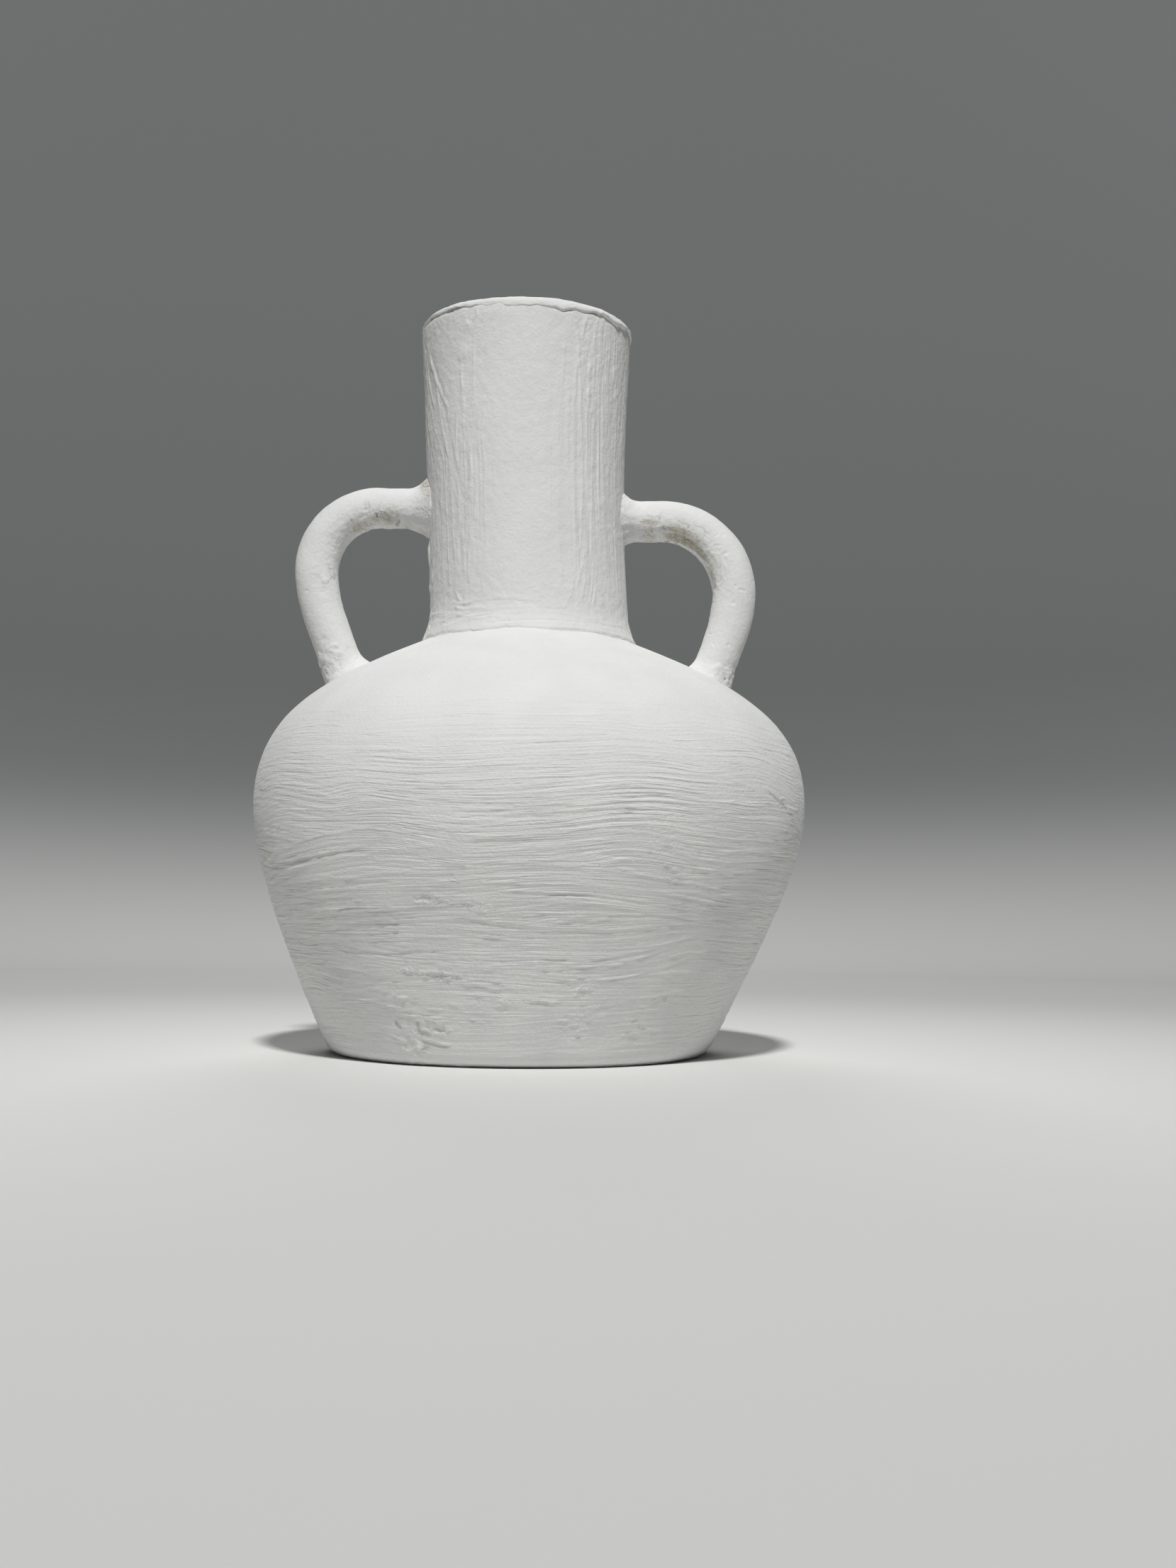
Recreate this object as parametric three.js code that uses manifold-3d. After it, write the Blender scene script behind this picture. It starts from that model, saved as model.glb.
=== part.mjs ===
// Two-handled vase, hand-built in sections: a floor slab, a flaring lower wall, a domed shoulder,
// a waisted neck with a rolled lip, and two coil handles luted on with wads of clay.
// Millimetres, +Z up. The origin is on the ground under the middle of the belly, and the handles
// lie along X.
import * as THREE from 'three';
import { mergeVertices } from 'three/addons/utils/BufferGeometryUtils.js';
import Module from 'manifold-3d';

const wasm = await Module();
wasm.setup();

// Driving dimensions of the vessel
const WALL = 8; // thickness of the body and neck wall, measured level
const FLOOR_THICKNESS = 9; // floor slab
const FOOT_FACE_RADIUS = 99; // flat ring that the vase rests on
const FOOT_ROUNDING = 12; // radius of the foot's outer edge
const WALL_FLARE = THREE.MathUtils.degToRad(24.5); // lean of the wall where it leaves the foot
const BELLY_RADIUS = 157.4; // widest ring
const BELLY_Z = 141; // height of the widest ring
const LOWER_FULLNESS = 48; // how far the wall keeps its first lean above the floor
const BELLY_FULLNESS = 37; // how far below the widest ring the wall turns upright
const SHOULDER_RISE = 93; // from the widest ring up to the seat of the neck
const SHOULDER_FULLNESS = 45; // how far above the widest ring the wall stays upright
const SHOULDER_PITCH = THREE.MathUtils.degToRad(22); // slope of the shoulder at the neck
const SHOULDER_RUN = 70; // how far the shoulder keeps that slope
const NECK_FOOT_RADIUS = 58.6;
const NECK_WAIST_RADIUS = 57.3;
const NECK_TOP_RADIUS = 61;
const NECK_HEIGHT = 178; // from the shoulder to the underside of the lip
const NECK_WAIST_RISE = 60; // height of the waist above the shoulder
const RIM_HEIGHT = 9.5; // rolled lip
const RIM_ROUNDING = 3; // radius of the lip's two upper edges
const RIM_OVERHANG = 1.5; // how far the lip stands proud of the neck, outside
const RIM_INSET = 1; // how far it stands proud inside

// The hand-built body bulges a little to one side of the line from foot to lip
const BULGE_SHIFT = 6;
const BULGE_Z = 155;
const BULGE_SPREAD = 115;

// Luting coils
const JOINT_COIL_HEIGHT = 21; // up the foot of the neck
const JOINT_COIL_SPREAD = 8.5; // out over the shoulder
const JOINT_COIL_EDGE = 1.3; // thickness at its two smoothed edges
const FLOOR_COIL_SIZE = 9;
const FLOOR_COIL_EDGE = 1.5;
const BELLY_COIL_HEIGHT = 14;
const BELLY_COIL_DEPTH = 4;

// Handles: centre lines lie in the plane y = 0
const HANDLE_RADIUS = 11.7; // the rolled coil, along its runs
const HANDLE_BEND_RADIUS = 12.5; // the coil where it is thickest, on the bend
const HANDLE_REACH = 121.6; // from the neck's centre line to that of the outer leg
const HANDLE_FOOT_LEAN = THREE.MathUtils.degToRad(18); // lean of the leg at its foot
const LEFT_HANDLE_RISE = 80.5; // level run above the neck's seat
const LEFT_HANDLE_TURN = 37; // radius of the bend's centre line
const LEFT_HANDLE_FOOT = 102.5; // from the neck's centre line to the foot on the shoulder
const RIGHT_HANDLE_RISE = 74;
const RIGHT_HANDLE_TURN = 42;
const RIGHT_HANDLE_FOOT = 107.7;

// Wads of clay round the handles' roots
const UPPER_WAD_LENGTH = 14;
const UPPER_WAD_FLARE = 2.8;
const LOWER_WAD_LENGTH = 13;
const LOWER_WAD_FLARE = 4.5;
const WAD_EDGE = 1.3; // thickness where a wad thins out along its handle

const GAP = 0.3; // slip joint between pieces that meet on curved faces

// Faceting
const TURN_STEPS = 48;
const HANDLE_SIDES = 16;
const HANDLE_STEPS = 18;
const WAD_SIDES = 20;

// Outer line of the vessel, as radius and height.
// The foot's edge is an arc that ends in the lean of the wall.
const footArcTop = new THREE.Vector2(
  FOOT_FACE_RADIUS + FOOT_ROUNDING * Math.cos(WALL_FLARE),
  FOOT_ROUNDING * (1 - Math.sin(WALL_FLARE)),
);
const wallFootRadius = footArcTop.x + (FLOOR_THICKNESS - footArcTop.y) * Math.tan(WALL_FLARE);

function lowerWallCurve(inset) {
  return new THREE.CubicBezierCurve(
    new THREE.Vector2(wallFootRadius - inset, FLOOR_THICKNESS),
    new THREE.Vector2(
      wallFootRadius - inset + LOWER_FULLNESS * Math.tan(WALL_FLARE),
      FLOOR_THICKNESS + LOWER_FULLNESS,
    ),
    new THREE.Vector2(BELLY_RADIUS - inset, BELLY_Z - BELLY_FULLNESS),
    new THREE.Vector2(BELLY_RADIUS - inset, BELLY_Z),
  );
}

// The shoulder leaves the widest ring upright and runs up to the neck at its own pitch.
const seatRadius = NECK_FOOT_RADIUS + JOINT_COIL_EDGE;
const NECK_SEAT_Z = BELLY_Z + SHOULDER_RISE;

function shoulderCurve(inset) {
  const drop = inset / Math.cos(SHOULDER_PITCH);
  const end = new THREE.Vector2(seatRadius, NECK_SEAT_Z - drop);
  return new THREE.CubicBezierCurve(
    new THREE.Vector2(BELLY_RADIUS - inset, BELLY_Z),
    new THREE.Vector2(BELLY_RADIUS - inset, BELLY_Z + SHOULDER_FULLNESS - inset / 2),
    new THREE.Vector2(
      end.x + (SHOULDER_RUN - inset) * Math.cos(SHOULDER_PITCH),
      end.y - (SHOULDER_RUN - inset) * Math.sin(SHOULDER_PITCH),
    ),
    end,
  );
}

const neckBoreRadius = NECK_FOOT_RADIUS - WALL;
const NECK_TOP_Z = NECK_SEAT_Z + NECK_HEIGHT;
const VASE_HEIGHT = NECK_TOP_Z + RIM_HEIGHT;

// The neck's outer line: two easy curves that meet upright at the waist
function neckRadius(z) {
  const waistZ = NECK_SEAT_Z + NECK_WAIST_RISE;
  const below = z < waistZ;
  const end = below ? NECK_FOOT_RADIUS : NECK_TOP_RADIUS;
  const span = below ? NECK_WAIST_RISE : NECK_HEIGHT - NECK_WAIST_RISE;
  const share = (z - waistZ) / span;
  return NECK_WAIST_RADIUS + (end - NECK_WAIST_RADIUS) * share * share;
}

function neckPoints(inset, fromZ, toZ, count) {
  const points = [];
  for (let i = 0; i <= count; i += 1) {
    const z = THREE.MathUtils.lerp(fromZ, toZ, i / count);
    points.push(new THREE.Vector2(neckRadius(z) - inset, z));
  }
  return points;
}

// The lines of the walls, shared by the sections and by the coils that are pressed against them
const lowerOuter = lowerWallCurve(0).getPoints(8);
const lowerInner = lowerWallCurve(WALL).getPoints(6);
const shoulderOuter = shoulderCurve(0).getPoints(10);
const shoulderInner = shoulderCurve(WALL).getPoints(8);
const neckOuter = neckPoints(0, NECK_SEAT_Z, NECK_TOP_Z, 6);
const neckInner = neckPoints(WALL, NECK_SEAT_Z, NECK_TOP_Z, 4);

// Radius of a wall line at a height
function radiusOf(wallLine, z) {
  const above = Math.max(1, wallLine.findIndex((point) => point.y >= z));
  const [from, to] = [wallLine[above - 1], wallLine[above]];
  return THREE.MathUtils.mapLinear(z, from.y, to.y, from.x, to.x);
}

// Height of the shoulder's outer face at a radius
function shoulderZ(radius) {
  const beyond = Math.max(1, shoulderOuter.findIndex((point) => point.x <= radius));
  const [from, to] = [shoulderOuter[beyond - 1], shoulderOuter[beyond]];
  return THREE.MathUtils.mapLinear(radius, from.x, to.x, from.y, to.y);
}

// Points that run up beside a wall line, clear of it by an offset
function besideWall(wallLine, offset, heights) {
  return heights.map((z) => new THREE.Vector2(radiusOf(wallLine, z) + offset, z));
}

// Centre of the vessel's cross-section at a height: zero at the belly, so that the origin is
// under the widest ring
function bulge(z) {
  return BULGE_SHIFT * Math.exp(-(((z - BULGE_Z) / BULGE_SPREAD) ** 2));
}

function centreX(z) {
  return bulge(z) - bulge(BELLY_Z);
}

// Solids
function toSolid(geometry) {
  geometry.deleteAttribute('normal');
  geometry.deleteAttribute('uv');
  const merged = mergeVertices(geometry, 1e-4);
  return new wasm.Manifold(new wasm.Mesh({
    numProp: 3,
    vertProperties: new Float32Array(merged.attributes.position.array),
    triVerts: new Uint32Array(merged.index.array),
  }));
}

function toMesh(name, solid, material) {
  const { vertProperties, triVerts } = solid.getMesh();
  const geometry = new THREE.BufferGeometry();
  geometry.setAttribute('position', new THREE.BufferAttribute(vertProperties, 3));
  geometry.setIndex(new THREE.BufferAttribute(triVerts, 1));
  geometry.computeVertexNormals();
  const mesh = new THREE.Mesh(geometry, material);
  mesh.name = name;
  return mesh;
}

// Profile points run anticlockwise, with radius to the right and height up. Each ring is then
// shifted so that its centre follows the vessel's centre line.
function revolve(profile, sides = TURN_STEPS) {
  const geometry = new THREE.LatheGeometry(profile, sides);
  geometry.rotateX(Math.PI / 2);
  return geometry;
}

function followCentreLine(geometry) {
  const { position } = geometry.attributes;
  for (let i = 0; i < position.count; i += 1) {
    position.setX(i, position.getX(i) + centreX(position.getZ(i)));
  }
  return geometry;
}

function vesselSection(profile) {
  return toSolid(followCentreLine(revolve(profile)));
}

function closedLoop(points) {
  return [...points, points[0]];
}

function baseSlab() {
  const edge = new THREE.EllipseCurve(
    FOOT_FACE_RADIUS, FOOT_ROUNDING, FOOT_ROUNDING, FOOT_ROUNDING,
    -Math.PI / 2, -WALL_FLARE, false, 0);
  return vesselSection([
    new THREE.Vector2(0, 0),
    ...edge.getPoints(5),
    new THREE.Vector2(wallFootRadius, FLOOR_THICKNESS),
    new THREE.Vector2(0, FLOOR_THICKNESS),
  ]);
}

function lowerBody() {
  return vesselSection(closedLoop([...lowerOuter, ...lowerInner.toReversed()]));
}

function shoulder() {
  const opening = [
    new THREE.Vector2(neckBoreRadius, NECK_SEAT_Z),
    new THREE.Vector2(neckBoreRadius, shoulderInner.at(-1).y),
  ];
  return vesselSection(closedLoop([...shoulderOuter, ...opening, ...shoulderInner.toReversed()]));
}

function neck() {
  return vesselSection(closedLoop([...neckOuter, ...neckInner.toReversed()]));
}

// Rolled lip: flat where it is luted to the neck, with rounded upper edges
function rimCoil() {
  const outerRadius = NECK_TOP_RADIUS + RIM_OVERHANG;
  const innerRadius = NECK_TOP_RADIUS - WALL - RIM_INSET;
  const edgeZ = NECK_TOP_Z + RIM_HEIGHT - RIM_ROUNDING;
  const roundedEdge = (radius, start) => new THREE.EllipseCurve(
    radius, edgeZ, RIM_ROUNDING, RIM_ROUNDING, start, start + Math.PI / 2, false, 0).getPoints(3);
  return vesselSection(closedLoop([
    new THREE.Vector2(innerRadius + RIM_INSET, NECK_TOP_Z),
    new THREE.Vector2(NECK_TOP_RADIUS, NECK_TOP_Z),
    new THREE.Vector2(outerRadius, NECK_TOP_Z + RIM_OVERHANG),
    ...roundedEdge(outerRadius - RIM_ROUNDING, 0),
    ...roundedEdge(innerRadius + RIM_ROUNDING, Math.PI / 2),
    new THREE.Vector2(innerRadius, NECK_TOP_Z + RIM_INSET),
  ]));
}

// Coil smoothed into the corner between neck and shoulder: hollow outer face, thin edges
function neckJointCoil() {
  const underZ = NECK_SEAT_Z + GAP;
  const topZ = NECK_SEAT_Z + JOINT_COIL_HEIGHT;
  const back = besideWall(neckOuter, GAP, [topZ, underZ]);
  const footRadius = NECK_FOOT_RADIUS + JOINT_COIL_SPREAD;
  const foot = new THREE.Vector2(footRadius, shoulderZ(footRadius) + GAP);
  const hollow = new THREE.CubicBezierCurve(
    new THREE.Vector2(footRadius, foot.y + JOINT_COIL_EDGE),
    new THREE.Vector2(seatRadius + JOINT_COIL_EDGE, underZ + JOINT_COIL_EDGE),
    new THREE.Vector2(back[0].x + JOINT_COIL_EDGE, (underZ + topZ) / 2),
    new THREE.Vector2(back[0].x + JOINT_COIL_EDGE, topZ),
  );
  const seat = new THREE.Vector2(seatRadius, underZ);
  return vesselSection(closedLoop([foot, ...hollow.getPoints(5), ...back, seat]));
}

// Coil pressed into the inner corner of floor and wall
function floorSeamCoil() {
  const [heel, top] = besideWall(
    lowerInner, -GAP, [FLOOR_THICKNESS, FLOOR_THICKNESS + FLOOR_COIL_SIZE]);
  const toe = new THREE.Vector2(heel.x - FLOOR_COIL_SIZE, FLOOR_THICKNESS);
  const hollow = new THREE.QuadraticBezierCurve(
    new THREE.Vector2(top.x - FLOOR_COIL_EDGE, top.y),
    new THREE.Vector2(heel.x - FLOOR_COIL_EDGE, toe.y + FLOOR_COIL_EDGE),
    new THREE.Vector2(toe.x, toe.y + FLOOR_COIL_EDGE),
  );
  return vesselSection(closedLoop([toe, heel, top, ...hollow.getPoints(3)]));
}

// Coil pressed over the inner side of the belly joint
function bellySeamCoil() {
  const halfHeight = BELLY_COIL_HEIGHT / 2;
  const back = [
    ...besideWall(lowerInner, -GAP, [BELLY_Z - halfHeight, BELLY_Z]),
    ...besideWall(shoulderInner, -GAP, [BELLY_Z + halfHeight]),
  ];
  const crown = new THREE.EllipseCurve(
    back[0].x, BELLY_Z, BELLY_COIL_DEPTH, halfHeight, Math.PI / 2, Math.PI * 1.5, false, 0);
  return vesselSection(closedLoop([...back, ...crown.getPoints(5).slice(1, -1)]));
}

// Handles
// The point where a handle's centre line meets the shoulder, on the side +1 (right) or -1 (left)
function handleFoot(side, footReach, neckX) {
  const x = neckX + side * footReach;
  let z = NECK_SEAT_Z;
  for (let i = 0; i < 20; i += 1) {
    z = shoulderZ(Math.abs(x - centreX(z)));
  }
  return new THREE.Vector3(x, 0, z);
}

// Centre line of a handle: level out of the neck, round the bend, down to the shoulder
function handleLine({ side, rise, turn, footReach }) {
  const rootZ = NECK_SEAT_Z + rise;
  const neckX = centreX(rootZ);
  const at = (reach, z) => new THREE.Vector3(neckX + side * reach, 0, z);
  const root = at(neckRadius(rootZ), rootZ);
  const bendStart = at(HANDLE_REACH - turn, rootZ);
  const bendEnd = at(HANDLE_REACH, rootZ - turn);
  const foot = handleFoot(side, footReach, neckX);
  const upLeg = new THREE.Vector3(
    side * Math.sin(HANDLE_FOOT_LEAN), 0, Math.cos(HANDLE_FOOT_LEAN));
  const quarterTurn = 0.5523 * turn; // control arm that makes a cubic a quarter circle
  const legArm = (bendEnd.z - foot.z) / 3;
  const line = new THREE.CurvePath();
  line.add(new THREE.LineCurve3(at(neckBoreRadius, rootZ), bendStart));
  line.add(new THREE.CubicBezierCurve3(
    bendStart,
    at(HANDLE_REACH - turn + quarterTurn, rootZ),
    at(HANDLE_REACH, rootZ - turn + quarterTurn),
    bendEnd,
  ));
  line.add(new THREE.CubicBezierCurve3(
    bendEnd,
    at(HANDLE_REACH, bendEnd.z - legArm),
    foot.clone().addScaledVector(upLeg, legArm),
    foot,
  ));
  line.add(new THREE.LineCurve3(foot, foot.clone().addScaledVector(upLeg, -WALL)));
  return { line, root, foot, upLeg };
}

// A coil of clay along a centre line in the plane y = 0, thickest at the bend
function rolledCoil(line, extraRadius) {
  const vertices = [];
  const indices = [];
  const sideways = new THREE.Vector3(0, 1, 0);
  for (let i = 0; i <= HANDLE_STEPS; i += 1) {
    const share = i / HANDLE_STEPS;
    const centre = line.getPointAt(share);
    const across = sideways.clone().cross(line.getTangentAt(share));
    const swell = Math.sin(Math.PI * share) ** 2;
    const radius = extraRadius + THREE.MathUtils.lerp(HANDLE_RADIUS, HANDLE_BEND_RADIUS, swell);
    for (let j = 0; j < HANDLE_SIDES; j += 1) {
      const angle = (j / HANDLE_SIDES) * Math.PI * 2;
      const point = centre.clone()
        .addScaledVector(across, radius * Math.cos(angle))
        .addScaledVector(sideways, radius * Math.sin(angle));
      vertices.push(point.x, point.y, point.z);
    }
  }
  for (let i = 0; i < HANDLE_STEPS; i += 1) {
    for (let j = 0; j < HANDLE_SIDES; j += 1) {
      const a = i * HANDLE_SIDES + j;
      const b = i * HANDLE_SIDES + ((j + 1) % HANDLE_SIDES);
      indices.push(a, b, b + HANDLE_SIDES, a, b + HANDLE_SIDES, a + HANDLE_SIDES);
    }
  }
  const lastRing = HANDLE_STEPS * HANDLE_SIDES;
  for (let j = 1; j < HANDLE_SIDES - 1; j += 1) {
    indices.push(0, j + 1, j);
    indices.push(lastRing, lastRing + j, lastRing + j + 1);
  }
  const geometry = new THREE.BufferGeometry();
  geometry.setAttribute('position', new THREE.Float32BufferAttribute(vertices, 3));
  geometry.setIndex(indices);
  return toSolid(geometry);
}

// The vessel without its hollow, grown by the slip joint: what handles and wads are cut to fit
function vesselEnvelope() {
  const belly = shoulderCurve(-GAP).getPoints(20);
  const neckLine = neckPoints(-GAP, NECK_SEAT_Z + GAP, NECK_TOP_Z, 12);
  return vesselSection([
    new THREE.Vector2(0, BELLY_Z),
    ...belly,
    ...neckLine,
    new THREE.Vector2(0, NECK_TOP_Z),
  ]);
}

// A wad flares from a thin collar on the handle to the surface that it is pressed against.
// It reaches one wall beyond the root, and the vessel's own surface then trims it.
function rootWad(root, direction, length, flare) {
  const bore = HANDLE_RADIUS;
  const points = [new THREE.Vector2(0, -WALL), new THREE.Vector2(bore + WAD_EDGE + flare, -WALL)];
  const steps = 4;
  for (let i = 0; i <= steps; i += 1) {
    const share = i / steps;
    const radius = bore + WAD_EDGE + flare * (1 - share) ** 2;
    points.push(new THREE.Vector2(radius, share * length));
  }
  points.push(new THREE.Vector2(0, length));
  const geometry = revolve(points, WAD_SIDES);
  const turn = new THREE.Quaternion().setFromUnitVectors(new THREE.Vector3(0, 0, 1), direction);
  geometry.applyQuaternion(turn);
  geometry.translate(root.x, root.y, root.z);
  return toSolid(geometry);
}

// Clay under a thick, chalky white coat
function whiteClay(color, roughness) {
  return new THREE.MeshStandardMaterial({ color, roughness, metalness: 0 });
}

const coatedClay = () => whiteClay(0xe9e7e2, 0.85);
const handleClay = () => whiteClay(0xdedad1, 0.9);
const bareClay = () => whiteClay(0xc9b49a, 0.95);

const vase = new THREE.Group();
vase.add(
  toMesh('base_slab', baseSlab(), coatedClay()),
  toMesh('floor_seam_coil', floorSeamCoil(), bareClay()),
  toMesh('lower_body', lowerBody(), coatedClay()),
  toMesh('belly_seam_coil', bellySeamCoil(), bareClay()),
  toMesh('shoulder', shoulder(), coatedClay()),
  toMesh('neck_joint_coil', neckJointCoil(), coatedClay()),
  toMesh('neck', neck(), coatedClay()),
  toMesh('rim_coil', rimCoil(), coatedClay()),
);

const envelope = vesselEnvelope();
const handles = [
  {
    name: 'handle_left',
    side: -1,
    rise: LEFT_HANDLE_RISE,
    turn: LEFT_HANDLE_TURN,
    footReach: LEFT_HANDLE_FOOT,
  },
  {
    name: 'handle_right',
    side: 1,
    rise: RIGHT_HANDLE_RISE,
    turn: RIGHT_HANDLE_TURN,
    footReach: RIGHT_HANDLE_FOOT,
  },
];
for (const handle of handles) {
  const { name, side } = handle;
  const { line, root, foot, upLeg } = handleLine(handle);
  const coil = rolledCoil(line, 0).subtract(envelope);
  const clearance = rolledCoil(line, GAP);
  const outwards = new THREE.Vector3(side, 0, 0);
  const upperWad = rootWad(root, outwards, UPPER_WAD_LENGTH, UPPER_WAD_FLARE);
  const lowerWad = rootWad(foot, upLeg, LOWER_WAD_LENGTH, LOWER_WAD_FLARE);
  vase.add(
    toMesh(name, coil, handleClay()),
    toMesh(`${name}_upper_wad`, upperWad.subtract(clearance).subtract(envelope), handleClay()),
    toMesh(`${name}_lower_wad`, lowerWad.subtract(clearance).subtract(envelope), handleClay()),
  );
}
vase.name = 'two_handled_vase';

console.log(`vase height ${VASE_HEIGHT.toFixed(1)} mm`);

export default vase;
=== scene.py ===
import math

import bpy
import numpy as np
from mathutils import Matrix, Vector


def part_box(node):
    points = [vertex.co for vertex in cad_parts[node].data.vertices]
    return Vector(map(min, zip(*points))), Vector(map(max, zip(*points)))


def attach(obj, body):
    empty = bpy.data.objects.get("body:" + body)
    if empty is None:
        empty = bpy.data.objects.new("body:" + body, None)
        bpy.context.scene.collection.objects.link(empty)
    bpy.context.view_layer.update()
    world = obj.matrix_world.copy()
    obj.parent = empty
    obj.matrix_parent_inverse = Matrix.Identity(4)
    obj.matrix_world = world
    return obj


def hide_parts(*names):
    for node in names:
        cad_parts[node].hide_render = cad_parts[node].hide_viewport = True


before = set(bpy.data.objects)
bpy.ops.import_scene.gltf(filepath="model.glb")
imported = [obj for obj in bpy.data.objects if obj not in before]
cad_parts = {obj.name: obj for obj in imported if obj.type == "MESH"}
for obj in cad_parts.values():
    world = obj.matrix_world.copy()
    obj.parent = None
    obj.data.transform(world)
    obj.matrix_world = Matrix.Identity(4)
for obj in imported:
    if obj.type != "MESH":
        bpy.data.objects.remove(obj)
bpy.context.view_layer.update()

MM = 0.001


def top_corner(node):
    """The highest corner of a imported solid, in millimetres"""
    return np.array(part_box(node)[1]) / MM


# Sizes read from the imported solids
FLOOR_THICKNESS = top_corner("base_slab")[2]
BELLY_RADIUS, _, BELLY_Z = top_corner("lower_body")
NECK_SEAT_Z = top_corner("shoulder")[2]
NECK_TOP_Z = top_corner("neck")[2]
VASE_HEIGHT = top_corner("rim_coil")[2]

# Sizes of the vessel that its solids were drawn with
WALL = 8.0
FOOT_FACE_RADIUS = 99.0
FOOT_ROUNDING = 12.0
WALL_FLARE = math.radians(24.5)
LOWER_FULLNESS = 48.0
BELLY_FULLNESS = 37.0
SHOULDER_FULLNESS = 45.0
SHOULDER_PITCH = math.radians(22.0)
SHOULDER_RUN = 70.0
NECK_FOOT_RADIUS = 58.6
NECK_WAIST_RADIUS = 57.3
NECK_TOP_RADIUS = 61.0
NECK_WAIST_RISE = 60.0
BULGE_SHIFT = 6.0
BULGE_Z = 155.0
BULGE_SPREAD = 115.0

# Sizes of the handles
HANDLE_RADIUS = 11.7
HANDLE_BEND_RADIUS = 12.5
HANDLE_REACH = 121.6
HANDLE_FOOT_LEAN = math.radians(18.0)

# The coat
COAT_ROOM = 0.5  # how far the clay lies inside the widest ring, so that the coat keeps to it
NECK_SPREAD = 4.6  # how far the foot of the neck spreads over the shoulder
NECK_SPREAD_RISE = 22.0
LIP_LAP = 7.2  # how far the neck runs up inside the rolled lip
BURIED = 1.4  # how deep a handle's root goes into the wall
SEAT_LEDGE = 1.3  # how far the shoulder ends outside the foot of the neck
NECK_WALL_Z = 234.5  # where the neck's own wall stands clear of the shoulder
LIP_RISE = 3.4  # how far the lip's lower edge lies above the top of the neck
QUARTER_ARM = 0.5523  # arm of a curve that makes a quarter of a circle of radius 1
WHITE_INSIDE = 80.0  # how far the coat reaches down inside the neck
STROKE_STEP = 80.6  # from one brush stroke to the next round the belly
STROKE_RISE = 8.0  # from one row of strokes to the next
BELLY_PITCH = 1.9  # how far apart the bristle ridges lie on the belly
BELLY_PRESS = 0.92  # how deep its strokes are, as a share of what their tables say
NECK_PRESS = 1.35  # the same for the lines on the neck
BRISTLE_LANE = 0.62  # how far apart the finest lines of a stroke lie
BRISTLE_LINES = 15.0  # their run along a stroke, as the scale of a noise

# How finely the pieces are shaped
BELLY_ROW = 0.53
NECK_FOOT_ROW, NECK_ROW, NECK_TOP_ROW = 0.6, 1.25, 0.8
NECK_FINE_BELOW, NECK_FINE_ABOVE = 262.0, 402.0  # heights between which the neck's rows are wider
INSIDE_ROW = 9.0
LIP_ROW = 0.4
BELLY_COLUMNS, NECK_COLUMNS, LIP_COLUMNS = 310, 470, 540
FRONT_BOOST = 2.4  # how much closer the columns lie across the front
COIL_RINGS, COIL_SIDES = 440, 168

# Crumbs of dried coat round the handles' feet, in metres
CRUMBS_PER_SQUARE_METRE = 70000.0
SMALLEST_CRUMB, LARGEST_CRUMB = 0.0003, 0.0008


# Lines of the vessel, as radius and height
def cubic(start, start_arm, end_arm, end, steps=160):
    t = np.linspace(0.0, 1.0, steps + 1)[:, None]
    points = [np.array(p, float) for p in (start, start_arm, end_arm, end)]
    weights = ((1 - t) ** 3, 3 * (1 - t) ** 2 * t, 3 * (1 - t) * t**2, t**3)
    return sum(weight * point for weight, point in zip(weights, points))


def arc(centre, radius, start, end, steps=24):
    angles = np.radians(np.linspace(start, end, steps + 1))
    return np.stack([centre[0] + radius * np.cos(angles), centre[1] + radius * np.sin(angles)], 1)


def run_of(line):
    """Distance along a line, point by point"""
    steps = np.linalg.norm(np.diff(line, axis=0), axis=1)
    return np.concatenate([[0.0], np.cumsum(steps)])


def read_pairs(pairs, run, at):
    """Pairs of values that are known at distances along a line, read at other distances"""
    return np.stack([np.interp(at, run, pairs[:, i]) for i in range(2)], 1)


def respace(line, step):
    """The same line with points an even step apart"""
    run = run_of(line)
    return read_pairs(line, run, np.linspace(0.0, run[-1], max(2, round(run[-1] / step) + 1)))


def join(*lines):
    """Lines end to end, each shared end kept once"""
    return np.concatenate([lines[0]] + [line[1:] for line in lines[1:]])


def foot_line():
    centre = (FOOT_FACE_RADIUS, FOOT_ROUNDING)
    return arc(centre, FOOT_ROUNDING, -90.0, -math.degrees(WALL_FLARE))


def wall_foot_radius():
    end = foot_line()[-1]
    return end[0] + (FLOOR_THICKNESS - end[1]) * math.tan(WALL_FLARE)


def lower_line(inset=0.0):
    foot = wall_foot_radius() - inset
    belly = BELLY_RADIUS - max(inset, COAT_ROOM)
    return cubic(
        (foot, FLOOR_THICKNESS),
        (foot + LOWER_FULLNESS * math.tan(WALL_FLARE), FLOOR_THICKNESS + LOWER_FULLNESS),
        (belly, BELLY_Z - BELLY_FULLNESS),
        (belly, BELLY_Z),
    )


def shoulder_line(inset=0.0):
    belly = BELLY_RADIUS - max(inset, COAT_ROOM)
    end = (NECK_FOOT_RADIUS + SEAT_LEDGE, NECK_SEAT_Z - inset / math.cos(SHOULDER_PITCH))
    run = SHOULDER_RUN - inset
    return cubic(
        (belly, BELLY_Z),
        (belly, BELLY_Z + SHOULDER_FULLNESS - inset / 2),
        (end[0] + run * math.cos(SHOULDER_PITCH), end[1] - run * math.sin(SHOULDER_PITCH)),
        end,
    )


def shoulder_z(radius):
    line = shoulder_line()
    return np.interp(-radius, -line[:, 0], line[:, 1])


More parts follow.
